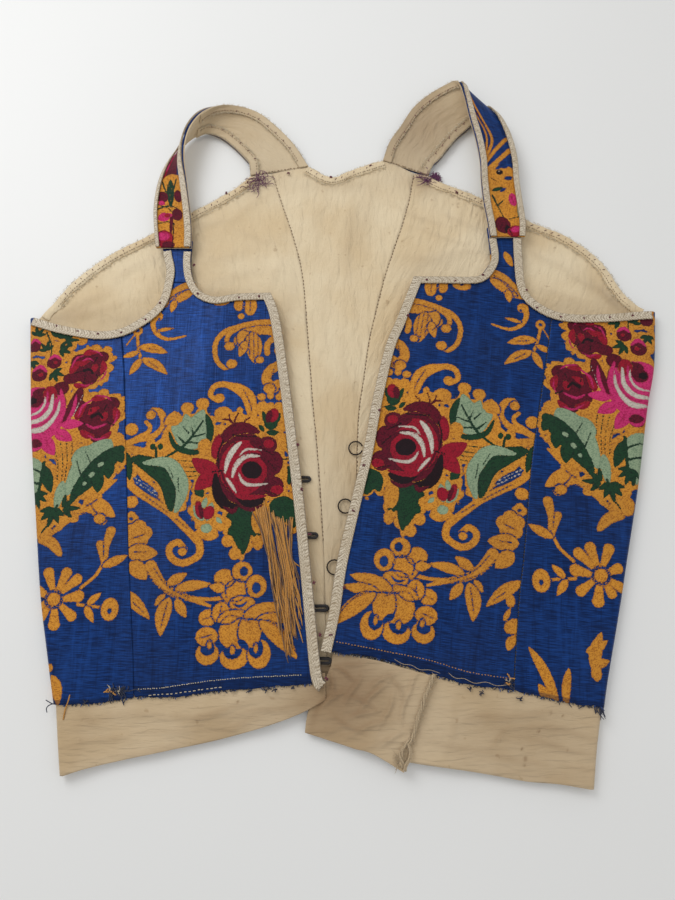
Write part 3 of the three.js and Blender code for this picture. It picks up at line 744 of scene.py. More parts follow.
def run_inside(x, y, line, widths):
    best = np.full(x.shape, -1e3)
    for (ax, ay), (bx, by), wa, wb in zip(line[:-1], line[1:], widths[:-1], widths[1:]):
        dx, dy = bx - ax, by - ay
        t = np.clip(((x - ax) * dx + (y - ay) * dy) / (dx * dx + dy * dy + 1e-9), 0, 1)
        best = np.maximum(best, (wa + (wb - wa) * t) / 2 - np.hypot(x - ax - t * dx, y - ay - t * dy))
    return best


def stroke_inside(x, y, start, end, *numbers):
    """a line that is `start` wide at its first point and `end` wide at its last"""
    line = spline(np.reshape(numbers, (-1, 2)), steps=6)
    return run_inside(x, y, line, np.linspace(start, end, len(line)))


def sickle_inside(x, y, width, *numbers):
    """a line that swells from a point to `width` in its middle"""
    line = spline(np.reshape(numbers, (-1, 2)), steps=6)
    return run_inside(x, y, line, width * np.sin(np.linspace(0.06, 0.94, len(line)) * math.pi) ** 0.8)


def dashes_inside(x, y, width, *numbers):
    """a broken line"""
    line = spline(np.reshape(numbers, (-1, 2)))
    stops = walk(line, np.linspace(0, 1, 2 * round(length_of(line) / DASH / 2)))
    pairs = [run_inside(x, y, stops[k:k + 2], (width, width)) for k in range(0, len(stops) - 1, 2)]
    return np.max(pairs, axis=0)


def spray_inside(x, y, cx, cy, length, turn, blades=5, width=2.2):
    """narrow leaflets that fan out from one point"""
    spread = np.linspace(-1, 1, int(blades))
    tips = [(math.radians(turn + 65 * k), length * (1 - 0.3 * abs(k))) for k in spread]
    return np.max([leaf_inside(x, y, cx, cy, cx + far * math.cos(a), cy + far * math.sin(a), width)
                   for a, far in tips], axis=0)


def ring_inside(x, y, cx, cy, radius, width):
    return width / 2 - np.abs(np.hypot(x - cx, y - cy) - radius)


SHAPES = {"leaf": leaf_inside, "spot": spot_inside, "bloom": bloom_inside, "stroke": stroke_inside,
          "sickle": sickle_inside, "dashes": dashes_inside, "ring": ring_inside, "spray": spray_inside}
FIRST_POINT = {"leaf": 0, "stroke": 2, "sickle": 1, "dashes": 1}


def reach(shape, numbers):
    """the box round a shape"""
    if shape in ("spot", "bloom", "ring", "spray"):
        cx, cy, size = numbers[:3]
        size = max(size, numbers[3]) if shape == "spot" else size + 1
        return cx - size, cx + size, cy - size, cy + size
    first = FIRST_POINT[shape]
    spots = np.reshape(numbers[:4] if shape == "leaf" else numbers[first:], (-1, 2))
    size = (numbers[4] / 2 + abs(sum(numbers[5:]))) if shape == "leaf" else max(numbers[:first]) / 2
    return (spots[:, 0].min() - size, spots[:, 0].max() + size,
            spots[:, 1].min() - size, spots[:, 1].max() + size)


def scallops(x, y):
    """lobes with sharp notches between them, about 1.5 mm in and out"""
    u = np.abs(np.sin(0.36 * x + 0.7 * np.sin(0.21 * y)))
    v = np.abs(np.sin(0.41 * y + 0.8 * np.sin(0.19 * x) + 1))
    return 3.2 * (np.sqrt(u * v) - 0.62)


def motifs(text):
    """a drawn-up table: motifs stand between semicolons, each a shape and its numbers, and a yarn is
    named where it changes"""
    rows, yarn = [], None
    for line in text.splitlines():
        for words in (part.split() for part in line.split("#")[0].split(";")):
            if words and words[1] in SHAPES:
                yarn, *words = words
            if words:
                rows.append((yarn, words[0], *map(float, words[1:])))
    return rows


TUCK = 0.35                             # mm that a covered yarn reaches under the one above it
OUTLINE = 0.8                           # mm of ground left between one gold motif and the next
OUTLINED = ("spot", "leaf", "bloom")


def paint(x, y, table, layers=None, halo=0.0, outlined=False):
    """how far each point is inside each yarn's area: a later shape covers an earlier one, and a halo of
    gold is laid round the whole table"""
    layers = layers or {yarn: np.full(x.shape, -PAD) for yarn in YARNS}
    order = list(layers)
    for yarn, shape, *numbers in table:
        low_x, high_x, low_y, high_y = reach(shape, numbers)
        near = ((x > low_x - PAD) & (x < high_x + PAD) & (y > low_y - PAD) & (y < high_y + PAD))
        if not near.any():
            continue
        inside = SHAPES[shape](x[near], y[near], *numbers)
        above = order if yarn == "cut" else order[order.index(yarn) + 1:]
        tuck = 0.0 if yarn == "cut" else TUCK
        for other in above:
            layers[other][near] = np.minimum(layers[other][near], tuck - inside)
        if outlined and yarn == "gold" and shape in OUTLINED:
            layers[yarn][near] = np.minimum(layers[yarn][near], -inside - OUTLINE)
        if yarn != "cut":
            layers[yarn][near] = np.maximum(layers[yarn][near], inside)
        if halo and yarn not in ("cut", "gold"):
            around = inside + halo + scallops(x[near], y[near])
            layers["gold"][near] = np.maximum(layers["gold"][near], np.minimum(around, inside + PAD - 1))
    return layers


print("a spot of 4 mm, at its middle:", spot_inside(np.zeros(1), np.zeros(1), 0, 0, 4, 4)[0], "mm inside")

# %% The left front: scrolls, sprigs and open flowers in gold
# The numbers, in mm: leaf x y to x y, width, bend; spot x y, half sizes, turn; bloom x y, radius, petals,
# depth, turn; stroke, its first and last width, then its points; sickle and dashes, width, then points;
# ring x y, radius, width; spray x y, length, turn, blades, width. "cut" lets the ground show through.
FRONT_GOLD = motifs("""
# leaf at the foot of the tab
gold leaf -103 73 -129 53 13 1; leaf -104 66 -124 55 7; leaf -117 59 -119 49 5
cut dashes .8 -107 69 -115 63 -121 57
# curl by the armhole
gold spot -128 46 3.6 3.6; cut spot -127 44 .9 .9
gold stroke 4.4 1.6 -130 47 -131 40 -128 33 -122 29 -116 29 -108 31; leaf -128 35 -116 37 3
# spray
spot -141 35 3.4 3.6; cut spot -141 35 1.3 1.1; gold stroke 1.2 1.2 -143 32 -148 24
stroke 2.2 2.4 -141 32 -140 24 -138 16 -136 12; leaf -139 23 -119 18 7 1; leaf -139 19 -150 15 4.5
leaf -137 14 -118 2 7 1.5; leaf -137 14 -144 2 5.5; cut stroke .5 .5 -134 22 -125 20
stroke .5 .5 -132 12 -125 7
# neckline flowers
gold spot -85 58 6.5 4; cut spot -85 59 1.4 1.2; gold spot -72 55 3.6 5; spot -64 54 4.6 7.5
cut stroke .8 .6 -68 60 -68 49; stroke .5 .5 -64 59 -64 50; gold spot -70 46 2.4 2.4
# scroll round the small flower
stroke 3.2 4.4 -76 8 -80 7 -85 12 -87 21 -85 29 -79 35 -71 38 -60 41 -46 42; spot -75 10 3.8 3.4
stroke 4 3 -70 38 -77 33 -79 28 -78 24; spot -77 23 3.5 3.2; stroke 9 7 -67 32 -56 36 -44 34
bloom -67 28 7.5 5 .2 40; leaf -62 34 -59 10 12; spot -56 13 3 2.6; leaf -66 27 -70 15 6
cut stroke .5 .5 -64 33 -63 16; stroke .5 .5 -61 34 -60 14; stroke .5 .5 -58 33 -57 16
stroke 1 .7 -73 33 -72 26 -68 21; stroke .6 .5 -70 36 -58 39 -48 39
gold stroke 4.6 4 -45 31 -51 25 -51 18; spot -44 20 2.4 3
# lump at the edge
stroke 7 7 -40 10 -48 6 -51 -1 -47 -8 -43 -5; cut stroke .7 .6 -46 6 -48 -1; gold spot -49 -8 4 3.6
spot -40 -11 2.4 3.4
# hooked scroll
spot -82 -15 3.6 3.2; stroke 3.2 5 -83 -17 -88 -13 -86 -7 -80 -5 -72 -7
sickle 9 -80 -5 -70 -8 -63 -14 -60 -24 -58 -34; stroke 3 2 -62 -18 -59 -26 -58 -34
cut stroke .6 .5 -66 -9 -61 -20 -60 -28
# curl on the left of the sage leaf
gold spot -139 -37 4.4 4.4; stroke 4.4 5 -142 -47 -134 -44 -125 -42 -119 -37 -118 -31 -121 -25 -126 -24
spot -127 -27 3.4 3.2; stroke 3.4 2.8 -135 -43 -128 -39 -127 -35 -130 -32
cut dashes .8 -136 -48 -126 -46 -120 -41 -116 -34; gold stroke 5 4 -142 -50 -134 -51 -125 -53
leaf -118 -40 -110 -49 7; leaf -117 -34 -111 -24 5
# bands that sweep under the long leaf, and their curl
stroke 4.6 4.6 -135 -60 -126 -72 -118 -80 -112 -86
stroke 5 5 -140 -71 -133 -78 -124 -84 -110 -93 -98 -104 -90 -112
stroke 5 4.2 -90 -112 -89 -118 -92 -122 -100 -125 -107 -121 -108 -115 -103 -112 -99 -116
spot -100 -118 2.8 2.6; stroke 3 4 -139 -58 -139 -72; cut leaf -136 -70 -117 -82 5
white dashes .8 -134 -70 -120 -79; dashes .8 -133 -73 -119 -82; cut dashes .6 -128 -81 -112 -92 -98 -103
# column of spots by the seam
gold spot -135 -86 4.6 4; bloom -134 -97 5 4 .2; bloom -129 -107 9.5 5 .2 10; leaf -135 -118 -115 -119 11
leaf -132 -124 -121 -135 10; cut spot -134 -97 1.2 1; stroke .8 .6 -131 -109 -125 -107
stroke .7 .6 -130 -118 -123 -118
# branch with its leaves
gold stroke 8 2 -119 -127 -113 -136 -104 -143 -92 -147 -81 -151
cut dashes .6 -117 -128 -111 -136 -103 -142 -91 -147; dashes .6 -121 -130 -115 -138 -105 -144 -94 -148
gold leaf -108 -138 -96 -131 6.5; leaf -103 -141 -80 -138 6.5 1; leaf -109 -144 -115 -151 4.6
leaf -106 -146 -110 -169 9.5 -1.5; leaf -102 -147 -95 -158 6.5; leaf -138 -141 -117 -159 8 1
stroke 2.4 2.4 -93 -146 -82 -147 -72 -146; cut stroke .5 .5 -107 -149 -110 -163
stroke .5 .5 -128 -149 -121 -155
# open flower
gold spot -66 -142 8.6 8.4; spot -73 -134 6.5 5.6; spot -62 -130 6.4 6; spot -53 -139 6.4 7
spot -61 -150 8 5; leaf -72 -141 -82 -139 6; cut spot -61 -130 2.6 2.8; spot -53 -140 2.6 3.4
sickle 1.6 -58 -148 -62 -151 -67 -150
dashes .8 -71 -146 -72 -140 -69 -136 -63 -135 -59 -139 -59 -144 -63 -148 -68 -148
# large flower
gold spot -81 -179 7 6.5; spot -65 -181 8.5 7; spot -50 -179 7 8.5; cut spot -81 -176 4.2 4
spot -66 -177 5.6 5; spot -52 -176 4.4 5.4; gold spot -65 -167 10 9.5; spot -56 -166 7 9.5
spot -82 -158 5.6 5; spot -74 -155 5.4 6.4; spot -82 -169 6.8 5.6; leaf -76 -160 -60 -154 7
stroke 3 3 -70 -155 -58 -157 -48 -157; leaf -60 -157 -33 -151 9 1; leaf -52 -159 -29 -158 7
leaf -50 -160 -27 -182 10 1.5; cut leaf -63 -171 -56 -176 4; dashes .7 -76 -164 -70 -157 -62 -158 -56 -161
dashes .6 -58 -158 -46 -160 -36 -166 -28 -178; stroke .6 .5 -79 -168 -86 -170
stroke .7 .5 -74 -151 -75 -158; stroke .6 .5 -79 -157 -85 -159; gold spot -80 -174 1.4 2.4
spot -66 -177 1.6 2.6; spot -52 -176 1.4 2.6
""")

# %% The left front: the rose and its leaves
FRONT_LEAVES = motifs("""
# heart-shaped sage leaf
gold stroke 12 16 -128 -55 -110 -54 -92 -47; spot -115 -46 5 5; spot -103 -22 4.5 4; spot -93 -19 4.5 4
spot -111 -29 4.5 4.5; sage spot -99 -40 11.5 11; leaf -98 -46 -92 -23 13 1; leaf -99 -44 -104 -26 10
leaf -100 -44 -113 -35 10; leaf sickle 4 -114 -39 -109 -49 -97 -53 -87 -49
sickle 5 -90 -27 -87 -37 -88 -49; stroke 2.2 .9 -105 -50 -98 -41 -92 -31; stroke .8 1.4 -100 -34 -98 -41
stroke .8 1.4 -105 -35 -101 -40; stroke .8 1.6 -109 -41 -104 -46; stroke 1.6 .8 -97 -42 -90 -40
stroke 1.4 .8 -100 -46 -91 -47
# sprout and stems
spot -124 -49 1.8 2.2; spot -119 -49 1.8 2.2; stroke 1.6 1.6 -122 -50 -121 -57
stroke 1.6 1.6 -133 -55 -122 -57 -115 -56 -107 -51; leaf -141 -53 -137 -72 6
gold stroke 13 9 -110 -64 -92 -65; leaf stroke .7 .7 -112 -58 -99 -59 -88 -60
stroke .7 .7 -111 -62 -99 -63 -87 -63; stroke .7 .7 -108 -66 -98 -66 -87 -65
stroke .7 .7 -106 -69 -97 -69 -87 -67
# long leaf, half green and half sage
sickle 12 -136 -57 -123 -63 -113 -72 -109 -91; sage sickle 10 -129 -60 -114 -60 -106 -69 -103 -79 -106 -92
leaf stroke 1 .8 -124 -62 -112 -70 -107 -86; stroke .7 .7 -113 -62 -109 -70
stroke .7 .7 -106 -70 -105 -80
# lobed leaf below the rose
leaf -65 -88 -62 -120 13; leaf -63 -94 -72 -113 9; leaf -61 -94 -52 -110 9; leaf -63 -90 -75 -99 8
leaf -62 -90 -54 -99 8
# lobed leaf at its right
leaf -40 -83 -45 -97 9; leaf -39 -83 -37 -100 10; leaf -38 -83 -30 -103 10; leaf -44 -86 -28 -90 11
# small leaves at the edge
leaf -35 -40 -34 -53 6; leaf -35 -62 -34 -75 6; leaf -50 -39 -40 -40 4; leaf -55 -34 -51 -39 3
stroke 1.2 .8 -43 -58 -33 -57; leaf -94 -76 -89 -83 6
""")
FRONT_ROSE = motifs("""
# gold lobes round it
gold spot -79 -26 6 5; spot -70 -29 6 4.5; spot -62 -32 5.5 4.5; spot -90 -49 5 6; spot -41 -47 5 8
spot -39 -68 4 11; spot -40 -34 5 5; spot -38 -24 3 6; spot -53 -22 4 5; spot -76 -100 6 5
spot -84 -107 6 4; spot -72 -111 4 4; spot -53 -98 5 9; spot -53 -112 3.5 5; spot -67 -119 4 4 30
spot -54 -14 3 2.6; spot -48 -13 2.4 2.8; spot -42 -14 2.6 2.6
# petals
maroon spot -63 -64 19.5 24; crimson spot -64 -63 16 19; maroon sickle 8.5 -81 -48 -74 -39 -65 -36 -55 -39
crimson spot -82 -49 3.6 8.5 -8; maroon spot -49 -48 6.5 6; crimson spot -48 -47 4 3.4
maroon spot -44 -60 5.5 8; spot -44 -76 6.5 7; crimson spot -42 -78 4.5 3.4; leaf -80 -66 -98 -57 11 1.5
leaf -80 -67 -95 -78 11 -1; ink sickle 7.5 -82 -68 -80 -80 -74 -88 -67 -89
sickle 6.5 -67 -83 -58 -87 -50 -84; maroon sickle 3.6 -76 -89 -70 -92 -67 -89
sickle 3 -67 -88 -58 -91 -51 -88; crimson sickle 5 -73 -72 -69 -80 -60 -83 -49 -82
maroon sickle 6 -60 -46 -49 -54 -46 -66 -48 -77
# dark lines between the petals
ink stroke 1.2 .8 -78 -45 -81 -54 -80 -64; stroke 1 .7 -84 -66 -76 -65
stroke 1 .7 -72 -41 -64 -42 -56 -42; maroon stroke 1.6 .8 -78 -66 -75 -74 -68 -83
ink stroke .8 .6 -54 -49 -48 -53 -44 -55; stroke .8 .6 -52 -56 -47 -60 -43 -65
stroke .9 .6 -50 -79 -45 -80 -40 -82; maroon stroke 1.4 .8 -70 -47 -74 -54 -76 -62
sickle 2.6 -62 -54 -54 -55 -48 -62 -48 -70; crimson sickle 3 -59 -58 -51 -61 -49 -70
# the pale heart
white sickle 4 -76 -67 -74 -57 -70 -50 -66 -46; sickle 3.4 -71 -70 -69 -62 -63 -56 -54 -55.5
sickle 1.6 -67 -55 -62 -51 -52 -51.5; sickle 2.4 -67 -67 -64 -73 -58 -75 -48 -74
sickle 2.2 -75 -70 -72 -74 -68 -80; crimson dashes .7 -72 -66 -67 -58 -60 -54
ink spot -58.5 -65 6.8 5.8 -15
# buds and sprig
sage leaf -88 -98 -95 -88 6; leaf -86 -98 -83 -86 6; spot -86 -103 3.6 3; crimson spot -91 -91 2.8 6 15
maroon spot -90 -92 1.4 5 15; crimson spot -85 -93 3.6 4.6 -20; sage leaf -89 -90 -87 -83 4
leaf spot -47 -33 4.4 4.4; leaf -49 -34 -53 -24 4; leaf -45 -34 -41 -25 4
crimson spot -45.5 -27 3.4 5 -10; maroon spot -48.5 -28 2.2 4.6 -10
stroke 1.5 1.2 -69 -37 -74 -31 -79 -30; stroke 1.4 1.1 -70 -38 -71 -31 -69 -26
stroke 1.2 1 -66 -37 -64 -31 -61 -29; stroke 1 1 -74 -32 -75 -27
spot -31 -74 2.2 3; sage leaf -80 -96 -76 -100 3
""")
print("front motifs:", len(FRONT_GOLD), "gold,", len(FRONT_LEAVES) + len(FRONT_ROSE), "coloured")

# %% The left side: roses by the armhole, sprigs and a daisy
SIDE_GOLD = motifs("""
# scrolls below the roses
gold stroke 3.4 6 -189 -110 -180 -103 -168 -93 -159 -91 -152 -98; leaf -160 -84 -144 -96 9
sickle 7 -192 -110 -183 -112 -176 -120; spot -154 -97 3.6 3.2; cut dashes .7 -184 -104 -173 -95 -162 -93
gold leaf -165 -88 -145 -71 8 2; spot -195 -84 6 5; spot -191 -95 6 5; spot -194 -104 5 6
# stems beside the big rose
stroke 12 10 -186 -46 -181 -58 -180 -72; stroke 12 9 -176 -42 -176 -54 -177 -66; spot -165 -50 8 4
spot -148 -44 5 5; leaf dashes .7 -189 -50 -185 -60 -184 -72; dashes .7 -185 -46 -182 -58 -181 -72
dashes .7 -181 -44 -179 -58 -179 -72; dashes .7 -177 -46 -176 -60 -177 -68
# daisy
gold stroke 3 7 -178 -142 -182 -131; stroke 3 7 -175 -142 -171 -131; stroke 3 7 -173 -143 -164 -135
stroke 3 7.4 -172 -147 -162 -145; stroke 3 6.6 -173 -150 -165 -157; stroke 3 7.4 -176 -151 -175 -162
stroke 3 6 -179 -151 -183 -157; stroke 3 6.6 -181 -149 -189 -153; stroke 3 6.6 -181 -145 -187 -142
spot -177 -147 5 5; cut ring -177 -147 4.4 .8
# stem, leaves and berry
gold stroke 2.2 2.2 -149 -126 -153 -133 -161 -140; stroke 2.4 6.4 -147 -124 -148 -114 -146 -105
stroke 2 5 -149 -125 -152 -113; leaf -149 -127 -134 -120 6; cut stroke .6 .5 -149 -121 -150 -110
gold stroke 2 2 -162 -150 -155 -151 -146 -152; leaf -156 -150 -148 -143 4.5; leaf -157 -151 -151 -161 5
spot -142 -153 5.4 7; cut spot -142 -154 1.3 1.6
""")
SIDE_ROSES = motifs("""
# leaves and buds at the armhole
leaf spray -196 30 12 70 5 3; spray -190 28 11 20 4 3; spray -210 31 9 80 4 2.6; spray -193 21 10 0 4 3
spray -202 20 9 110 4 2.6; spray -196 4 10 -40 4 3; spray -211 12 8 -90 4 2.6
stroke 1.1 1.1 -204 34 -199 22 -200 8; spray -182 34 9 10 4 2.4; maroon spot -211 23 4.4 4.4
pink sickle 2.4 -214 25 -211 28 -207 25; maroon spot -196 11 5 4.6
pink sickle 2.6 -200 13 -196 16 -191 13; maroon spot -205 2 5.4 5; pink sickle 2.8 -210 4 -205 8 -200 4
crimson spot -195 11 2 1.6; spot -204 2 2.4 1.8
# two small roses
maroon bloom -173 7 13 5 .2 70; spot -164 15 5 4.4; spot -183 -1 5.4 4
crimson leaf -184 2 -176 13 6 1.4; leaf -177 17 -167 18 5 1; leaf -163 13 -164 1 5 1.4
leaf -181 -5 -170 -6 4.4 -1; leaf -178 8 -171 12 4.6 1.2; spot -168 7 2.6 3.6 -20
pink sickle 1.4 -184 6 -181 14 -176 16; sickle 1.1 -173 20 -167 19 -163 15; sickle 1.1 -160 8 -161 1 -165 -3
sickle 1.2 -177 12 -173 14 -169 12; sickle 1 -179 -4 -173 -6 -168 -4; ink stroke 2 1.4 -175 5 -171 6 -169 3
stroke .9 .6 -167 15 -169 10; stroke .9 .6 -181 3 -176 5; stroke .9 .6 -167 2 -163 0
stroke .8 .6 -174 1 -174 -4
maroon bloom -163 -29 14 5 .2 10; spot -154 -19 5.6 5; spot -174 -22 4.6 5; spot -160 -42 6 4.6
crimson leaf -176 -31 -170 -18 6.4 1.4; leaf -168 -16 -158 -16 5.4 1; leaf -152 -21 -151 -33 5.6 1.4
leaf -173 -38 -162 -42 5.4 -1; leaf -160 -44 -152 -38 4.6 -1; leaf -169 -27 -161 -22 5 1.4
spot -158 -28 2.8 4 -20; pink sickle 1.8 -175 -29 -173 -21 -167 -16
sickle 1.5 -165 -13 -158 -14 -154 -17; sickle 1.2 -150 -24 -150 -31 -153 -35
sickle 1.9 -170 -33 -164 -36 -156 -33; sickle 1.4 -169 -40 -162 -44 -155 -42
ink stroke 2.4 1.6 -166 -28 -162 -26 -159 -29
stroke 1 .6 -151 -34 -156 -32; stroke 1 .6 -174 -34 -169 -33; stroke .9 .6 -157 -20 -159 -24
stroke .9 .6 -168 -20 -167 -25; crimson sickle 1.4 -167 -24 -163 -21 -159 -24
# the large pink rose on the fold
pink spot -204 -27 20 20; maroon spot -202 -12 6.5 4.6; spot -189 -8 5.5 5; crimson spot -196 -12 5 6
maroon spot -205 -17 6 5; ink spot -207 -17 3 2.4; pink sickle 2.2 -213 -22 -205 -24 -198 -17 -198 -10
white sickle 3.6 -194 -12 -195 -24 -202 -31 -214 -32; sickle 3.2 -188 -13 -190 -27 -198 -36 -211 -38
sickle 1.8 -199 -13 -199 -20 -204 -26 -213 -27; maroon stroke 1 .7 -191 -12 -192 -26 -200 -34 -212 -35
pink sickle 5.4 -189 -9 -186 -24 -192 -36 -205 -43; maroon stroke .9 .7 -186 -12 -184 -26 -190 -39
white sickle 1.8 -207 -39 -198 -38 -191 -31; maroon leaf -175 -7 -186 -34 8 1.5
white dashes .6 -174 -13 -179 -30; pink sickle 2.8 -178 -13 -179 -24 -183 -33; leaf -186 -34 -171 -33 7
leaf -190 -38 -177 -45 8; leaf -197 -42 -188 -55 9; maroon spot -202 -48 5.5 4.5
pink sickle 2.4 -210 -44 -203 -51 -196 -49; crimson stroke .9 .7 -195 -44 -190 -52
stroke .9 .7 -188 -40 -180 -44
# broad leaf, one side sage and the other dark and lobed
leaf leaf -152 -58 -151 -71 8; leaf -158 -66 -157 -80 8; leaf -147 -52 -143 -60 7
sage leaf -152 -44 -178 -82 21; spot -168 -56 9 7 40; leaf sickle 13 -144 -50 -157 -62 -173 -83
sage spot -157 -61 2.6 1.8 40; spot -162 -68 2.6 1.8 45; spot -166 -74 2.2 1.5 45
leaf stroke .8 1 -168 -52 -163 -61; stroke .8 1 -173 -58 -169 -68
# leaves at the fold
sage spot -205 -66 12 10; leaf -203 -62 -200 -90 14; leaf stroke 2.4 1.6 -194 -60 -195 -78 -198 -90
stroke 1.4 .9 -196 -66 -204 -63 -212 -64; stroke 1.6 .9 -196 -74 -204 -72 -212 -72
spray -197 -80 12 -70 5 3.4; leaf -194 -62 -187 -80 8; leaf -206 -76 -212 -88 6
sage leaf -180 -72 -183 -92 6.5; leaf spray -184 -90 13 -100 5 4; spray -178 -90 13 20 4 3.4
stroke 1.4 1 -182 -88 -185 -98 -190 -106
""")
print("side motifs:", len(SIDE_GOLD), "gold,", len(SIDE_ROSES), "coloured")

# %% The straps, from other parts of the same silk: mm from the neck edge, and mm from the shoulder
STRAP_MOTIFS = {
    "left": motifs("""
maroon stroke 14 22 13 100 14 118 17 136 18 148; crimson sickle 5 14 112 18 130 21 146
pink spot 18.5 129 2.4 4.6; sickle 3 16 112 17 120 18 126; spot 22 143 2 4.6
gold stroke 20 26 12 146 13 158 14 202; leaf leaf 13 141 14 165 6; stroke 1.4 1 20 143 17 152 14 160
stroke 1.2 1 8 141 11 150 13 160; gold stroke .8 .7 15 142 13.6 160; stroke .7 .7 12 144 13 160
maroon spot 20 156 4.6 4.6; spot 7.6 155 3.4 5; pink spot 20.8 161 2.6 1.9
leaf stroke 1.1 .9 24 166 14 163 7 167; stroke 1 .9 24 162 16 165 12 170; pink leaf 24 174 13 170 7
crimson spot 17 171 2.6 2; maroon spot 9.5 170 4 5; leaf stroke .9 .9 24 178 17 176 12 178
maroon stroke 3 1.6 14 173 15 186; crimson spot 19.5 190 7 6.8; pink spot 20 188 4.6 3.6
maroon spot 16 195 4.6 3; stroke .9 .7 22 184 18 188 20 194; ink stroke .8 .7 12.6 177 13.4 197
"""),
    "right": motifs("""
gold stroke 2 2.4 5 84 6 100 9.5 112 12.5 129 8 141 3 148; stroke 1.4 1.8 5 110 8.8 126 4.6 145
maroon stroke 1.1 .8 7 109 10.5 119; gold stroke 2.6 3.2 4 151 13 140 24 129
stroke 3.6 3.8 5 157 14 149 24 140; stroke 27 27 14 166 14 216; cut leaf 11 157 23 149 3
spot 18 154 2.6 2.4; ink spot 14 159.5 2.6 2.2; white spot 13.7 158.8 1 1; cut spot 20.5 165 3.2 1.7
ink stroke .8 .7 7 164 13 168; leaf leaf 7 175 16 172.5 3.2; cut leaf 13 176 18 173 2.4
leaf stroke 1.5 1 7 179 9.5 188 12 197; stroke 1.1 .8 9.5 188 15 183; pink spot 21.6 183 3.1 5.4
crimson stroke 1.4 1 20.5 180 22 187; sage stroke 1.3 1.3 24.4 188 23.4 197
leaf stroke .8 .8 16 199 24 197; maroon spot 10.5 204 5.6 7; ink spot 13.6 208 2.2 3.4
crimson spot 18.6 209 6.4 4.4 -15; pink spot 19.6 207.6 4.2 2.4 -15; ink stroke .8 .7 13 203 16 212
"""),
}
TAB_MOTIFS = {"left": [], "right": motifs("gold leaf 107 87 108.5 98 4.4; leaf 117 98 122 85 5.4")}
print("strap motifs:", {name: len(rows) for name, rows in STRAP_MOTIFS.items()})

# %% [markdown]
# The right half carries the same pattern turned over, and laid a little aslant. So a point there is
# taken back to its twin on the left before it is painted. A place holds the twin points' two middles
# and the turn between them.

# %% Places of the pattern on the cloth
RIGHT_FRONT = {"left": (-83.3, -67.9), "here": (66.1, -55.6), "turn": -7.7, "scale": 1.011}
RIGHT_SIDE = {"left": (-165.2, -77.4), "here": (154.3, -58.4), "turn": -5.05, "scale": 1.055}


def twin(x, y, place):
    """points of the right half, taken to the left half's pattern"""
    (here_x, here_y), scale = place["here"], place["scale"]
    u, v = turned((x - here_x) / scale, (y - here_y) / scale, 0, 0, place["turn"])
    return place["left"][0] - u, place["left"][1] + v


def paint_front(x, y):
    layers = paint(x, y, FRONT_GOLD, outlined=True)
    layers = paint(x, y, FRONT_LEAVES, layers, halo=2.4)
    return paint(x, y, FRONT_ROSE, layers, halo=3.2)


def paint_side(x, y):
    layers = paint(x, y, SIDE_GOLD, outlined=True)
    return paint(x, y, SIDE_ROSES, layers, halo=3.6)


HEM_MOTIFS = {                          # cut through by the raw hem, and not the same on the two halves
    -1: motifs("""
gold spot -175 -187 2.4 2.4; leaf -173 -191 -167 -208 7 1; leaf -176 -196 -171 -208 5
"""),
    1: motifs("""
gold leaf 112 -175 127 -214 6.4 2.5; leaf 116 -196 126 -214 6; leaf 135 -187 131 -212 5.4 -1
gold leaf 150 -190 157 -166 8 1.6; leaf 146 -178 160 -171 6 -1; leaf 148 -186 160 -183 6
spot 151 -190 3.2 4.6
"""),
}
HALF_MOTIFS = motifs("""
gold spot 104 -163 6.4 4.4 20; leaf 98 -160 103 -152 3.4; leaf 99 -177 106 -168 6 1; spot 103 -148 3 4
""")
REPEAT = 262                            # mm from one rose to the next up the cloth
BACK_SHIFT = 63                         # mm across, from the front's pattern to the centre back's
SIDE_SHIFT = 237                        # mm across, from the side's pattern to its hidden part's
SHOWN_BEND = 28                         # mm past the fold's line that still carry the side's pattern


def paint_hidden(x, y):
    """the back's pattern: the front's motifs again, one repeat above the other"""
    layers = paint_front(x, y)
    higher = paint_front(x, y - REPEAT)
    return {yarn: np.maximum(layers[yarn], higher[yarn]) for yarn in layers}


print("the twin of (66, -56):", [round(float(v)) for v in twin(66.0, -56.0, RIGHT_FRONT)])

# %% [markdown]
# ## Making a cloth
# A cloth is a grid of points with its surface facing out. Its edge is turned down by the cloth's
# thickness, so that it doesn't look like paper, and each point carries its place on the cloth. The flat
# size is worked out from the same places.


# %% Grid, rim and attributes
def unit(vectors):
    return vectors / np.maximum(np.linalg.norm(vectors, axis=-1, keepdims=True), 1e-9)


def normals_of(place, facing):
    return unit(np.cross(np.gradient(place, axis=1), np.gradient(place, axis=0))) * facing


def grid_quads(rows, columns, facing):
    first = (np.arange(rows - 1)[:, None] * columns + np.arange(columns - 1)).ravel()
    quads = np.stack([first, first + 1, first + columns + 1, first + columns], axis=1)
    return quads if facing > 0 else quads[:, ::-1]


def border(rows, columns, facing):
    """indices round a grid, anticlockwise as seen from the side that it faces"""
    index = np.arange(rows * columns).reshape(rows, columns)
    loop = np.concatenate([index[0, :-1], index[:-1, -1], index[-1, :0:-1], index[:0:-1, 0]])
    return loop if facing > 0 else loop[::-1]


def new_mesh(name, points, faces, material, attributes):
    mesh = bpy.data.meshes.new(name)
    mesh.from_pydata(points * MM, [], faces)
    for key, values in attributes.items():
        kind, field = ("FLOAT", "value") if values.ndim == 1 else ("FLOAT_VECTOR", "vector")
        mesh.attributes.new(key, kind, "POINT").data.foreach_set(field, values.astype("f").ravel())
    mesh.shade_smooth()
    mesh.materials.append(material)
    piece = bpy.data.objects.new(name, mesh)
    bpy.context.collection.objects.link(piece)
    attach(piece, "root")
    return piece


EDGE_SWELL = 0.12                       # mm that a turned-down edge stands out


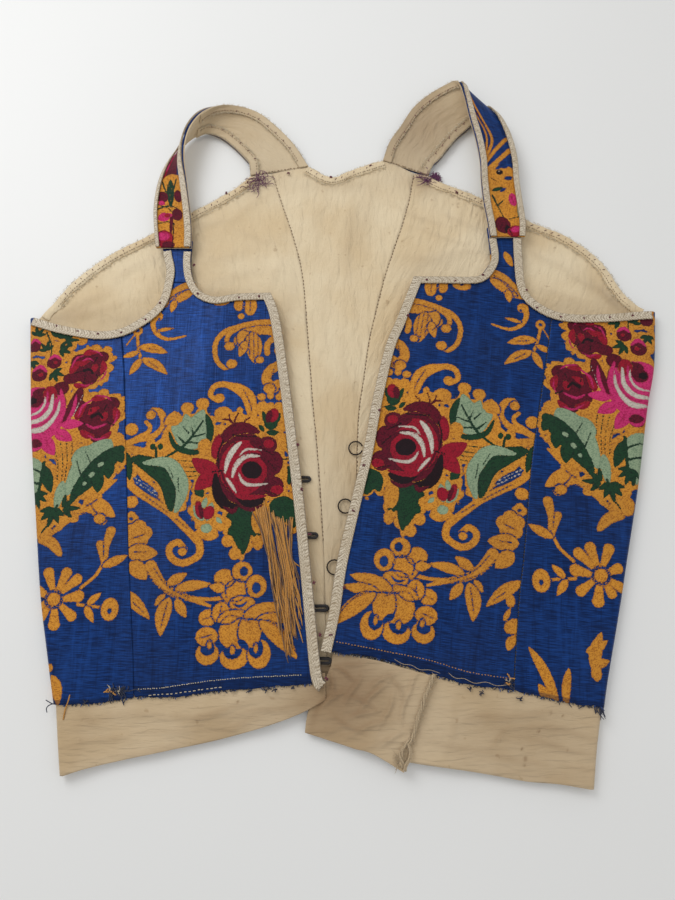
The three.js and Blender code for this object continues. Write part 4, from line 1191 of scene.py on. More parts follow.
def cloth(name, node_name, place, thread, facing, slot, rim=CLOTH, layers=None, fade=(1, 1)):
    """place: rows x columns x 3 in mm; thread: rows x columns x 2, where that is on the cloth; fade: how
    much of each layer is left half down the edge and at its foot"""
    rows, columns, _ = place.shape
    loop = border(rows, columns, facing)
    flat_points, flat_thread = place.reshape(-1, 3), thread.reshape(-1, 2)
    edge, down = flat_points[loop], normals_of(place, facing).reshape(-1, 3)[loop]
    out = np.cross(unit(np.roll(edge, -1, axis=0) - np.roll(edge, 1, axis=0)), down)
    points = np.vstack([flat_points, edge + out * EDGE_SWELL - down * rim * 0.4, edge - down * rim])
    start, count = rows * columns, len(loop)
    k, following = np.arange(count), np.roll(np.arange(count), -1)
    faces = [grid_quads(rows, columns, facing),
             np.stack([loop[following], loop[k], start + k, start + following], axis=1),
             np.stack([start + following, start + k, start + count + k, start + count + following], axis=1)]
    order = np.concatenate([np.arange(start), loop, loop])
    left_over = np.repeat([1, *fade], [start, count, count])
    attributes = {"thread": np.column_stack([flat_thread[order], np.zeros(len(order))])}
    for key, values in (layers or {}).items():
        attributes[key] = np.clip(values.ravel(), -2, 2)[order] * left_over
    piece = new_mesh(name, points, np.concatenate(faces), FINISHES[slot], attributes)
    if node_name:
        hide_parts(node_name)
    print(f"{name}: {rows} x {columns} points")
    return piece


def declare(piece, thread):
    """works out the width and length of the cut, in metres, and keeps neither"""
    across, along = np.diff(thread, axis=1)[:-1], np.diff(thread, axis=0)[:, :-1]
    width, length = (float(np.ptp(thread[..., k]) * MM) for k in (0, 1))


# Stains and painted shade: the marks along the edges of the fronts and their armholes, and the patches
# between the fronts at the waist, are painted shade where the fronts lie over the back's lining.
# x, y, turn, half length, half width, strength
STAINS_AND_SHADOWS = listed("""
5 -120 88 90 26 .42  0 -190 10 34 18 .4  -198 48 20 26 7 .35  196 60 -40 26 8 .4  -150 46 5 34 7 .25
160 56 -5 36 7 .3  -88 66 0 20 5 .3  -44 20 80 50 6 .3  36 20 75 50 6 .35  -66 160 30 20 10 .25
62 158 -20 18 9 .28  -4 158 0 30 6 .2  12 120 80 26 8 .14  70 90 10 30 10 .16  -120 96 30 22 9 .14
0 -212 20 40 22 .5  110 -226 -5 60 18 .3  100 -246 -4 50 4 .25  -66 198 140 44 26 .22  62 208 50 46 30 .5
-96 222 0 20 14 .3  -100 -235 12 60 5 .25  -60 -215 14 30 8 .18  -152 -224 80 16 6 .1
""", 6)
# x, y, size
SPECKS = listed("""
122 -212 .9  129 -214 .8  114.5 -222 1.0  104 -232 .8  105.5 -237 1.3  104.5 -240 .8  130 -232 .7
-152 -227 .8  -62 -206 .9  -94 96 .9  -128 88 .8  66 84 .8  86 142 1.0  -30 30 .7
""", 3)


def stains_and_shade(x, y):
    # painted shade along the fine, band and underlap creases, a little to one side of each ridge, added to
    # the listed stains and specks
    folds = creased(FINE_CREASES, x + 1, y - 1) + creased(BAND_CREASES, x + 0.6, y - 0.8)
    total = creased(STAINS_AND_SHADOWS, x, y) + 0.3 * folds + 0.2 * creased(UNDERLAP_CREASES, x + 0.8, y - 0.8)
    for cx, cy, size in SPECKS:
        total = total + np.exp(-((x - cx)**2 + (y - cy)**2) / (0.7 * size)**2)
    return np.minimum(total, 1.0)


def stain_and_shade_layer(place, more=0.0):
    return {"stain_and_shade": stains_and_shade(*xy(place)) + more}


def steps(length, cell):
    """even shares from 0 to 1, one for each cell of a length"""
    return np.linspace(0, 1, max(2, round(length / cell) + 1))


# %% A wall on a patch, and a wall that runs round the side fold
def panel(place, width, height, cell, z, lift=no_lift):
    flat = place(steps(width, cell), steps(height, cell))
    z = np.broadcast_to(z + lift(*xy(flat)), flat.shape[:2])
    return np.dstack([flat, z]), flat


def folded(front, back, side, radius, cells, lengths, front_up=no_lift, back_up=no_lift):
    """cells: size on the front, round the bend, on the back and up; lengths: front, back and height"""
    t = steps(lengths["height"], cells["up"])
    front_part = front(steps(lengths["front"], cells["front"]), t)
    back_part = back(steps(lengths["back"], cells["back"]), t)[:, 1:]
    bend = np.linspace(0.5, -0.5, max(8, round(math.pi * radius / cells["bend"]) + 1))[1:] * math.pi
    fold_x, fold_y = front_part[:, -1, 0], front_part[:, -1, 1]
    top = FOLD_MIDDLE + radius + front_up(*xy(front_part))
    under = FOLD_MIDDLE - radius + back_up(*xy(back_part))
    round_x = fold_x[:, None] + side * radius * np.cos(bend)[None]
    round_y = np.repeat(fold_y[:, None], len(bend), axis=1)
    round_z = np.broadcast_to(FOLD_MIDDLE + radius * np.sin(bend), round_x.shape)
    place = np.concatenate([np.dstack([front_part, top]), np.dstack([round_x, round_y, round_z]),
                            np.dstack([back_part, under])], axis=1)
    bend_x = fold_x[:, None] + side * radius * (math.pi / 2 - bend)[None]
    back_x = fold_x[:, None] + side * (radius * math.pi + np.abs(back_part[..., 0] - fold_x[:, None]))
    thread = np.concatenate([front_part, np.dstack([bend_x, round_y]),
                             np.dstack([back_x, back_part[..., 1]])], axis=1)
    return place, thread


print("even shares of 10 mm in cells of 2.5:", steps(10, 2.5))

# %% [markdown]
# ## The back
# The centre back is a narrow panel that flares to the shoulders. Its brocade faces the table and its
# lining faces up, where it shows between the open fronts.

# %% Centre back
left, right = shifted(LEFT["back_seam"], GAP / 2), shifted(RIGHT["back_seam"], -GAP / 2)
place, thread = panel(patch(left, right, [(0, -190)], BACK_NECK), width=60, height=365, cell=1.6, z=0.0)
silk = cloth("back_centre_silk", "back_centre_brocade", place, thread, -1, "brocade",
             layers=paint_hidden(thread[..., 0] - BACK_SHIFT, thread[..., 1]))
declare(silk, thread)

foot = CENTRE_BACK[1] + GAP
inner = patch(between(left, foot, left[-1][1]), between(right, foot, right[-1][1]), [(0, foot)], BACK_NECK)
place, thread = panel(inner, width=60, height=360, cell=1.5, z=BACK_LINING + CLOTH, lift=back_lift)
declare(cloth("back_centre_cotton", "back_centre_lining", place, thread, 1, "lining", layers=stain_and_shade_layer(place)),
        thread)

# %% [markdown]
# ## The sides
# Each side is one cloth that starts at the side-front seam, runs round the fold and on under the back to
# the side-back seam. The lining inside does the same, and stops at the top of the waist band.


# %% Raw edges
RAGGED_ROWS = 6
SIDE_STRIP = 3.0                        # mm, the dark strip above the raw edge of the sides
FRONT_STRIP = 6.6                       # mm, the same on the fronts


def wander(count, seed, size, grain):
    """a smooth random line of `count` values"""
    chance = np.random.default_rng(seed)
    return size * np.interp(np.linspace(0, 1, count), np.linspace(0, 1, grain), chance.uniform(-1, 1, grain))


def ragged(place, seed):
    """the lowest rows of a cloth, moved up and down along a torn edge"""
    columns = place.shape[1]
    torn = wander(columns, seed, 0.5, columns // 8) + wander(columns, seed + 1, 0.5, columns // 2)
    place[:RAGGED_ROWS, :, 1] += torn[None] * np.linspace(1, 0, RAGGED_ROWS)[:, None]
    return place


def below_stitches(x, y, side, strip):
    """how far, in mm, a point is inside the strip above the raw edge"""
    return strip - (y - raw_edge(x, side))


# %% Side panels
def side_panel(name, table, side):
    front_seam, back_seam = (shifted(table[key], side * GAP / 2) for key in ("seam", "back_seam"))
    top = table["fold"][-1][1]
    armhole = [p for p in table["armhole"] if side * p[0] > side * front_seam[-1][0] + 1][:-1]
    back_armhole = table["back_armhole"][1:]
    foot = table["fold"][2][1]

    fold = shifted(between(table["fold"], foot, top), -side * BROCADE_RADIUS)
    back = patch(fold, back_seam, table["back_hem"], back_armhole)
    front = patch(front_seam, fold, table["side_hem"], armhole)
    cells = {"front": 0.8, "bend": 0.8, "back": 1.7, "up": 0.85}
    place, thread = folded(front, back, side, BROCADE_RADIUS, cells,
                           {"front": 58, "back": 165, "height": 255}, front_lift)
    x, y = twin(*xy(thread), RIGHT_SIDE) if side > 0 else xy(thread)
    shown, hidden = paint_side(x, y), paint_hidden(x + SIDE_SHIFT, y)
    lx, ly, lean = FOLD_LINE[-1]
    far = x < lx + (ly - y) * lean - SHOWN_BEND
    layers = {yarn: np.where(far, hidden[yarn], shown[yarn]) for yarn in shown}
    layers = paint(*xy(place), HEM_MOTIFS[side], layers)
    layers["hem"] = below_stitches(*xy(place), side, SIDE_STRIP)
    silk = cloth(f"side_{name}_silk", f"side_{name}_brocade", ragged(place, 30 + side), np.dstack([x, y]),
                 side, "brocade", layers=layers)
    declare(silk, thread)

    rise = BAND_LAP + GAP
    lining_fold = shifted(between(table["fold"], foot + rise, top), -side * BROCADE_RADIUS)
    lining_seam = between(front_seam, front_seam[0][1] + rise, front_seam[-1][1])
    lining_back_seam = between(back_seam, CENTRE_BACK[1] + GAP, back_seam[-1][1])
    back = patch(lining_fold, lining_back_seam, shifted(table["back_hem"], 0, rise), back_armhole)
    front = patch(lining_seam, lining_fold, shifted(table["side_hem"], 0, rise), armhole)
    cells = {"front": 2.5, "bend": 1.0, "back": 1.5, "up": 1.7}
    place, thread = folded(front, back, side, LINING_RADIUS - CLOTH, cells,
                           {"front": 58, "back": 165, "height": 250}, back_up=back_lift)
    cotton = cloth(f"side_{name}_cotton", f"side_{name}_lining", place, thread, -side, "lining",
                   layers=stain_and_shade_layer(place))
    declare(cotton, thread)


for name, (table, side) in SIDES.items():
    side_panel(name, table, side)

# %% [markdown]
# ## The fronts
# Each front ends at the neck, the armhole and the foot of its strap tab. The tab is the short plain end
# of the front onto which the strap is sewn.


# %% Fronts
def tab_edges(name, table):
    def cut(rows):
        return between([row for row in rows if row[1] > 50][::-1], TAB_FOOT[name], TAB_TOP[name])
    return cut(table["neck"]), cut(table["armhole"][:5])


def front_panel(name, table, side):
    foot = TAB_FOOT[name] - GAP
    neck = [p for p in table["neck"] if p[1] < foot - 3][:-1][::-1]
    corner = side * table["seam"][-1][0]
    armhole = [p for p in table["armhole"] if p[1] < foot - 3 and side * p[0] < corner - 2]
    neck_corner, arm_corner = ((edge[0][0], foot) for edge in tab_edges(name, table))
    seam = shifted(table["seam"], -side * GAP / 2)
    runs = [[table["centre"][-1], *neck, neck_corner], [neck_corner, arm_corner],
            [arm_corner, *armhole, seam[-1]]]
    top = np.vstack([spline(run) for run in runs])
    place, thread = panel(patch(table["centre"], seam, table["hem"][::-1], top), width=112, height=265,
                          cell=0.8, z=FRONT_BROCADE + CLOTH, lift=front_lift)
    x, y = twin(*xy(thread), RIGHT_FRONT) if side > 0 else xy(thread)
    layers = paint_front(x, y)
    if side > 0:
        layers = paint(*xy(place), HALF_MOTIFS, layers)
    layers["hem"] = below_stitches(*xy(place), side, FRONT_STRIP)
    silk = cloth(f"front_{name}_silk", f"front_{name}_brocade", ragged(place, 40 + side),
                 np.dstack([x, y]), side, "brocade", layers=layers)

    rise = BAND_LAP + GAP
    inner = patch(between(table["centre"], table["centre"][0][1] + rise, table["centre"][-1][1]),
                  between(seam, seam[0][1] + rise, seam[-1][1]), shifted(table["hem"][::-1], 0, rise), top)
    place_in, thread_in = panel(inner, width=112, height=260, cell=2.5, z=FRONT_LINING)
    cotton = cloth(f"front_{name}_cotton", f"front_{name}_lining", place_in, thread_in, -side, "lining")
    declare(silk, thread)
    declare(cotton, thread_in)


def strap_tab(name, table, side):
    neck_side, arm_side = tab_edges(name, table)
    place, thread = panel(patch(neck_side, arm_side, [], []), width=26, height=34, cell=0.8,
                          z=FRONT_BROCADE + CLOTH)
    silk = cloth(f"strap_tab_{name}_silk", f"strap_tab_{name}", place, thread, side, "brocade",
                 rim=STEP + CLOTH, layers=paint(*xy(thread), TAB_MOTIFS[name]))
    declare(silk, thread)


for name, (table, side) in SIDES.items():
    front_panel(name, table, side)
    strap_tab(name, table, side)

# %% [markdown]
# ## The waist band
# A band of coarse cotton is tucked under the brocade's raw edge, and runs round both folds. A loose
# piece of it, the underlap, comes out from under the right front.


# %% Waist bands and underlap
def waist_band(name, table, side):
    hem_y = table["fold"][2][1]
    fold = shifted(between(table["fold"], table["fold"][0][1], hem_y + BAND_LAP), -side * BROCADE_RADIUS)
    past_end = [p for p in table["hem"] if side * p[0] > side * table["band_end"][0][0] + 1][::-1]
    top = shifted([*past_end, table["seam"][0], *table["side_hem"]], 0, BAND_LAP)
    front = patch(table["band_end"], fold, table["band_bottom"], top)
    centre = [(side * GAP / 2, CENTRE_BACK[0]), (side * GAP / 2, CENTRE_BACK[1])]
    back = patch(fold, centre, table["band_back_bottom"][::-1], shifted(table["back_hem"], 0, BAND_LAP))
    cells = {"front": 1.2, "bend": 1.0, "back": 1.6, "up": 1.0}
    place, thread = folded(front, back, side, LINING_RADIUS, cells,
                           {"front": 150, "back": 155, "height": 38}, band_front_drop, band_drop)
    band = cloth(f"band_{name}", f"waist_band_{name}", place, thread, side, "band", layers=stain_and_shade_layer(place))
    declare(band, thread)


for name, (table, side) in SIDES.items():
    waist_band(name, table, side)


def underlap_height(x, y):
    low = BACK_LINING + CLOTH + 1.2
    rise = FRONT_BROCADE - low
    free = smooth((x + 15) / 8) * smooth((raw_edge(x, 1) - y) / 4)
    return low + CLOTH + rise * smooth((x + 4) / 26) + 1.5 * creased(UNDERLAP_CREASES, x, y) * free


place, thread = panel(patch(*UNDERLAP.values()), width=58, height=56, cell=0.7, z=0.0, lift=underlap_height)
underlap = cloth("underlap_cotton", "underlap", place, thread, 1, "band", layers=stain_and_shade_layer(place))
declare(underlap, thread)

# %% [markdown]
# ## The braid
# A herringbone braid of cream and silver thread is sewn along the neck, the centre fronts, the armholes
# and both edges of each strap. Its threads run in chevrons, which are raised here in the mesh: the
# braid is small, but its ribs catch the light.

# %% Ribbons of braid
NECK_BRAID = 5.2
CENTRE_BRAID = 6.4
ARM_BRAID = 5.8
CHEVRON = 2.0                           # mm from one chevron to the next
RIB = 0.24                              # how high a chevron stands


def chevrons(along, across, width):
    """0 in the gaps and 1 on the ribs"""
    uneven = 0.6 * np.sin(0.9 * along) * np.sin(1.7 * across + along)
    slant = along - np.abs(across - width / 2) * 0.9 + uneven
    ribs = smooth(0.9 + 0.9 * np.cos(2 * math.pi * slant / CHEVRON))
    return ribs * smooth(np.minimum(across, width - across) / 0.8 + 0.4)


def braid(name, node_name, outer, inner, up, width, facing):
    """outer and inner: lines of the same number of points; up: which way the ribs stand"""
    columns = round(width / 0.55) + 1
    share = np.linspace(0, 1, columns)
    place = outer[:, None] * (1 - share[None, :, None]) + inner[:, None] * share[None, :, None]
    along = np.repeat(lengths_along((outer + inner) / 2)[:, None], columns, axis=1)
    across = np.broadcast_to(share * width, along.shape)
    ridge = chevrons(along, across, width)
    place = place + up[:, None] * (ridge[..., None] - 0.6) * RIB
    # the ridge value fades down the rim, so the braid's sides get painted shade
    cloth(name, node_name, place, np.dstack([across, along]), facing, "braid", rim=BRAID_THICK,
          layers={"ridge": ridge}, fade=(0.7, 0.3))


def offset(line, distance):
    """a line beside a flat line, to its left where the distance is positive"""
    run = unit(np.gradient(line, axis=0))
    return line + distance * np.column_stack([-run[:, 1], run[:, 0]])


def even(line, cell=0.5):
    return walk(line, steps(length_of(line), cell))


def on_front(line):
    return np.column_stack([line, BRAID + BRAID_THICK + front_lift(*xy(line))])


def braid_on_front(name, node_name, path, side_of_path, width, corner=None, corner_at=None):
    outer = even(spline(path))
    inner = offset(outer, side_of_path * width)
    if corner is not None:
        nearest = np.argmin(np.linalg.norm(inner - corner, axis=1))
        kept = inner[:nearest] if corner_at == "end" else inner[nearest + 1:]
        inner = np.vstack([kept, corner] if corner_at == "end" else [corner, kept])
        inner = walk(inner, np.linspace(0, 1, len(outer)))
    up = np.tile([0.0, 0.0, 1.0], (len(outer), 1))
    braid(name, node_name, on_front(outer), on_front(inner), up, width, -side_of_path)


def corner_inside(before, corner, after, side_of_path, widths):
    """where the inner lines of two runs of braid meet"""
    a, b, c = (np.array(p, float) for p in (before, corner, after))
    inward = [side_of_path * np.array([-v[1], v[0]]) for v in (unit(b - a), unit(c - b))]
    return b + np.linalg.solve(np.array(inward), np.array(widths))


def front_braids(name, table, side):
    stop = TAB_TOP[name] - 10
    tab = between(table["neck"][:4][::-1], table["neck"][3][1], stop)[::-1]
    neck = [*tab, *table["neck"][4:]]
    centre = table["centre"][::-1]
    corner = corner_inside(neck[-2], neck[-1], centre[1], side, (NECK_BRAID, CENTRE_BRAID))
    braid_on_front(f"braid_on_neck_{name}", f"braid_neck_{name}", neck, side, NECK_BRAID, corner, "end")
    braid_on_front(f"braid_on_centre_{name}", None, centre, side, CENTRE_BRAID, corner, "start")
    arm_tab = between(table["armhole"][:4][::-1], table["armhole"][3][1], stop)[::-1]
    fold_x, fold_y = table["fold"][-1]
    end = (fold_x - side * (BROCADE_RADIUS + 1), fold_y - 0.6)
    arm = [*arm_tab, *table["armhole"][4:-1], end]
    braid_on_front(f"braid_on_armhole_{name}", f"braid_armhole_{name}", arm, -side, ARM_BRAID)


for name, (table, side) in SIDES.items():
    front_braids(name, table, side)

# %% [markdown]
# ## The turned hems
# Inside, the seam allowances of the back's neck and armholes are turned over the lining and caught down
# with long stitches. Their raw edges have gone soft and ragged.


# %% Turned hems
def turned_hem(name, node_name, path, side_of_path, seed):
    outer = even(spline(path), 0.7)
    count = len(outer)
    torn = HEM_WIDTH - 0.8 + wander(count, seed, 0.6, count // 8) + wander(count, seed + 2, 0.5, count // 2)
    inner = offset(outer, side_of_path * torn[:, None])
    share = np.linspace(0, 1, 9)[None, :, None]
    flat = outer[:, None] * (1 - share) + inner[:, None] * share
    puff = 0.3 * np.sin(math.pi * share[..., 0]) + wander(count, seed + 1, 0.3, count // 5)[:, None]
    puff = puff - 0.6 * smooth((share[..., 0] - 0.55) / 0.45)
    z = BACK_LINING + STEP + HEM_THICK + back_lift(*xy(flat)) + puff
    cloth(name, node_name, np.dstack([flat, z]), flat, -side_of_path, "lining", rim=HEM_THICK)


for seed, (name, (table, side)) in enumerate(SIDES.items()):
    x, y = table["back_armhole"][0]
    edge = [(x - side * 7, y + 3.5), *table["back_armhole"][1:]]
    turned_hem(f"turned_hem_armhole_{name}", f"hem_armhole_{name}", edge, side, 10 + seed * 3)
turned_hem("turned_hem_neck", "hem_neck", BACK_NECK, -1, 20)

# %% [markdown]
# ## The straps
# A strap rises from each shoulder of the back, turns over and comes down on its tab: its lining shows
# behind and its brocade in front. Two edges carry it. The brocade lies on one side of the surface
# between them and the lining on the other.


# %% Strap surfaces
def rail(points, t):
    """a centripetal curve through points, at shares t of their number"""
    p = np.asarray(points, float)
    p = np.vstack([2 * p[0] - p[1], p, 2 * p[-1] - p[-2]])
    where = np.clip(t, 0, 1) * (len(p) - 3)
    i = np.minimum(where.astype(int), len(p) - 4)
    w = (where - i)[:, None]
    p0, p1, p2, p3 = (p[i + k] for k in range(4))
    d0, d1, d2 = (np.linalg.norm(b - a, axis=1, keepdims=True) ** 0.5
                  for a, b in ((p0, p1), (p1, p2), (p2, p3)))
    t1 = ((p1 - p0) / d0 - (p2 - p0) / (d0 + d1) + (p2 - p1) / d1) * d1
    t2 = ((p2 - p1) / d1 - (p3 - p1) / (d1 + d2) + (p3 - p2) / d2) * d1
    return p1 + t1 * w + (3 * (p2 - p1) - 2 * t1 - t2) * w**2 + (2 * (p1 - p2) + t1 + t2) * w**3


def strap_lines(name, side, t):
    """the neck edge, the arm edge and the way the brocade faces, at shares t"""
    def edges(shares):
        return (rail(STRAPS[name][:, k], shares) for k in (0, 1))
    neck, arm = edges(t)
    run = unit(sum(edges(np.minimum(t + 0.01, 1))) / 2 - sum(edges(np.maximum(t - 0.01, 0))) / 2)
    return neck, arm, unit(np.cross(arm - neck, run)) * -side


def strap_grid(name, side, distance, last, start, stop, columns):
    """start and stop: how far from the neck edge, in mm, for each width of the strap"""
    neck, arm, out = strap_lines(name, side, np.linspace(0, last, round(last * 260) + 1))
    width = np.linalg.norm(arm - neck, axis=1)
    share = np.linspace(start(width) / width, stop(width) / width, columns).T[..., None]
    place = neck[:, None] * (1 - share) + arm[:, None] * share + out[:, None] * distance
    along = lengths_along((neck + arm) / 2)
    return place, np.dstack([share[..., 0] * width[:, None], np.repeat(along[:, None], columns, axis=1)])


STRAP_BRAIDS = {"left": (4.8, 2.6), "right": (4.6, 4.2)}
# how much darker each strap's lining and its turned hems are made
STRAP_DARKENING = {"left": 0.14, "right": 0.26}
HEM_STOP = {"left": 0.44, "right": 0.46}
EDGES = ("neck", "arm")


def strip(edge, slim):
    """where a strip along one edge of a strap starts and stops"""
    if edge == "neck":
        return (lambda w: 0 * w), (lambda w: 0 * w + slim)
    return (lambda w: w - slim), (lambda w: w)


def strap(name, side):
    half, outer = GAP / 2, GAP / 2 + STEP
    whole = (lambda w: 0 * w), (lambda w: w)
    place, thread = strap_grid(name, side, half + CLOTH, 1, *whole, 40)
    silk = cloth(f"strap_{name}_silk", f"strap_{name}_brocade", place, thread, -side, "brocade",
                 layers=paint(*xy(thread), STRAP_MOTIFS[name]))
    declare(silk, thread)
    place, thread = strap_grid(name, side, -half - CLOTH, 1, *whole, 30)
    cotton = cloth(f"strap_{name}_cotton", f"strap_{name}_lining", place, thread, side, "lining",
                   layers=stain_and_shade_layer(place, STRAP_DARKENING[name]))
    declare(cotton, thread)
    neck, arm, out = strap_lines(name, side, np.linspace(0.1, 1, 330))
    width = np.linalg.norm(arm - neck, axis=1)[:, None]
    for edge, slim in zip(EDGES, STRAP_BRAIDS[name]):
        a, b = (neck + (arm - neck) * place(width) / width + out * (outer + BRAID_THICK)
                for place in strip(edge, slim))
        braid(f"braid_on_strap_{name}_{edge}", f"braid_strap_{name}_{edge}", a, b, out, slim, -side)
    for edge in EDGES:
        place, thread = strap_grid(name, side, -outer - HEM_THICK, HEM_STOP[name], *strip(edge, HEM_WIDTH), 9)
        cloth(f"turned_hem_strap_{name}_{edge}", f"hem_strap_{name}_{edge}", place, thread, side, "lining",
              rim=HEM_THICK, layers=stain_and_shade_layer(place, STRAP_DARKENING[name] + 0.08))


for name, (_, side) in SIDES.items():
    strap(name, side)

# %% [markdown]
# ## Hooks and eyes
# Four hooks are sewn under the left front and four eyes under the right one. The eyes' solids have the
# right shape, so they stay, and take the finish of dark wire. The hooks are bound with black thread, so
# each is drawn again as a thicker doubled bar: a path is added, given its points and a round section,
# and turned into a mesh.

# %% Hooks and eyes
HOOK_TIPS = [(-20.2, -70), (-15.2, -107), (-8.2, -152), (-6.4, -183)]
HOOK_LONG = 10
HOOK_SPREAD = 2.7                       # mm between the two bars
BOUND_BAR = 1.9                         # thickness of a bar with its thread
HOOK_Z = BACK_LINING + CLOTH + BOUND_BAR / 2 + 0.15


def bound_hook(number, tip_x, y):
    deselect()
    bpy.ops.curve.primitive_nurbs_path_add()
    hook = bpy.context.object
    half = HOOK_SPREAD / 2
    bend = [(tip_x - half * 1.6 + half * math.cos(a), y + half * math.sin(a))
            for a in np.linspace(math.pi / 2, -math.pi / 2, 7)]
    line = [(tip_x - HOOK_LONG, y + half), *bend, (tip_x - HOOK_LONG, y - half)]
    hook.data.splines.clear()
    run = hook.data.splines.new("POLY")
    run.points.add(len(line) - 1)
    for point, (px, py) in zip(run.points, line):
        point.co = (px * MM, py * MM, HOOK_Z * MM, 1)
    hook.data.bevel_depth = BOUND_BAR / 2 * MM
    hook.data.bevel_resolution = 3
    hook.data.use_fill_caps = True
    bpy.ops.object.convert(target="MESH")
    hook = bpy.context.object
    hook.name = f"bound_hook_{number}"
    bpy.ops.object.shade_smooth()
    hook.data.materials.clear()
    hook.data.materials.append(SEWING["black"])
    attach(hook, "root")
    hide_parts(f"hook_{number}")


for number, tip in enumerate(HOOK_TIPS, 1):
    bound_hook(number, *tip)
    eye = frame["nodes"][f"eye_{number}"]
    eye.data.materials.clear()
    eye.data.materials.append(WIRE)
print("hooks and eyes:", len(HOOK_TIPS), "pairs")

# %% [markdown]
# ## Stitches, knots and loose threads
# Every thread is a thin closed tube with four sides, laid along a line of points, and hundreds of them
# share one mesh. A stitch comes up out of the cloth, lies on it and dips in again. A raw edge loses its
# threads: these are short hairs that leave the edge, each with its own lean and curl.


# %% Tubes from lines
def tubes(name, lines, radius, colour):
    points, faces, start = [], [], 0
    for line in lines:
        line = np.asarray(line, float)
        run = unit(np.gradient(line, axis=0))
        side = unit(np.cross(run, [0.0, 0.0, 1.0]))
        over = np.cross(side, run)
        thick = np.full(len(line), radius)
        thick[[0, -1]] *= 0.6
        ring = np.stack([side, over, -side, -over], axis=1) * thick[:, None, None]
        points.append((line[:, None] + ring).reshape(-1, 3))
        for first in range(start, start + 4 * (len(line) - 1), 4):
            faces += [(first + k, first + 4 + k, first + 4 + (k + 1) % 4, first + (k + 1) % 4)
                      for k in range(4)]
        last = start + 4 * (len(line) - 1)
        faces += [(start, start + 1, start + 2, start + 3), (last + 3, last + 2, last + 1, last)]
        start += 4 * len(line)
    new_mesh(name, np.vstack(points), faces, SEWING[colour], {})
    print(f"{name}: {len(lines)} threads, {len(faces)} faces")


def laid(rows, height, up=no_lift, cell=0.8):
    """a smooth line through flat points, laid on a cloth"""
    line = even(spline(listed(rows) if isinstance(rows, str) else rows), cell)
    return np.column_stack([line, height + up(*xy(line))])


def on_silk(rows, higher=0.0, cell=0.8):
    return laid(rows, FRONT_TOP + higher, front_lift, cell)


def beside(line, distance, lower=0.0):
    """a line to the left of one that is laid on a cloth"""
    return np.column_stack([offset(line[:, :2], distance), line[:, 2] - lower])


def running(line, pitch, long, seed):
    """stitches along a line"""
    chance = np.random.default_rng(seed)
    total = length_of(line)
    made = []
    for middle in (np.arange(int(total / pitch)) + 0.5) * pitch:
        half = long / 2 * chance.uniform(0.7, 1.2)
        share = (middle + chance.uniform(-0.15, 0.15) * pitch + half * np.array([-1, -0.6, 0.6, 1])) / total
        stitch = walk(line, np.clip(share, 0, 1))
        stitch[:, :2] += chance.uniform(-0.15, 0.15, 2)
        stitch[:, 2] += np.array([-0.25, 0.1, 0.1, -0.25])
        made.append(stitch)
    return made


def slanting(line, near, far, pitch, seed):
    """stitches across a line, from `near` to `far` mm to its left"""
    chance = np.random.default_rng(seed)
    a, b = beside(line, near), beside(line, far)
    total = length_of(line)
    made = []
    for place in np.arange(pitch, total - pitch, pitch) + chance.uniform(-0.4, 0.4) * pitch:
        share, lean = place / total, chance.uniform(0.3, 1.5) / total
        p, q = walk(a, [share])[0], walk(b, [min(1, share + lean)])[0]
        rise = [[0, 0, v] for v in (-0.2, 0.15, 0.15, -0.2)]
        made.append(np.array([p, p * 0.7 + q * 0.3, p * 0.3 + q * 0.7, q]) + rise)
    return made


def frays(line, out, seed, count, short, long, droop=0.0, lean=0.8):
    """hairs that leave a line: out is 1 to its left and -1 to its right"""
    chance = np.random.default_rng(seed)
    run = unit(np.gradient(line[:, :2], axis=0))
    t = np.array([0.0, 0.35, 0.7, 1.0])[:, None]
    made = []
    for share, size, slant, curl, rise in chance.uniform([0, 0, -1, -1, 0], 1, (count, 5)):
        at = int(share * (len(line) - 1))
        along, away = run[at], out * np.array([-run[at, 1], run[at, 0]])
        far = short + (long - short) * size**2
        flat = line[at, :2] + far * (t * (away + slant * lean * along) + 0.6 * t**2 * curl * along)
        z = line[at, 2] + rise * 0.6 * np.sin(2.5 * t) - droop * t
        made.append(np.column_stack([flat, z]))
    return made


def knot(x, y, z, size, seed):
    chance = np.random.default_rng(seed)
    made = []
    for turn in chance.uniform(0, math.pi, 5):
        reach_x, reach_y = size * math.cos(turn), size * math.sin(turn)
        made.append([(x + k * reach_x, y + k * reach_y, z + rise) for k, rise in
                     ((-1, -0.2), (-0.4, size * 0.5), (0.4, size * 0.5), (1, -0.2))])
    return made


def tangle(x, y, z, wide, tall, count, long, seed):
    """curled ends that lie over one another"""
    chance = np.random.default_rng(seed)
    made = []
    for _ in range(count):
        u, v, heading = *chance.normal(0, 0.35, 2), chance.uniform(0, 2 * math.pi)
        line = [(x + u * wide, y + v * tall, z + chance.uniform(-0.1, 0.5))]
        for turn, rise in chance.uniform([-0.8, 0.0], [0.8, 1.4], (5, 2)):
            heading += turn
            px, py, _ = line[-1]
            line.append((px + long / 5 * math.cos(heading), py + long / 5 * math.sin(heading), z + rise))
        made.append(spline(line, steps=2))
    return made


FRONT_TOP = FRONT_BROCADE + CLOTH
LINING_TOP = BACK_LINING + CLOTH
TURNED_TOP = BACK_LINING + STEP + HEM_THICK
BRAID_TOP = BRAID + BRAID_THICK
print("stitches in 10 mm at a pitch of 2:", len(running(laid([(0, 0), (10, 0)], 0), 2, 1.2, 1)))

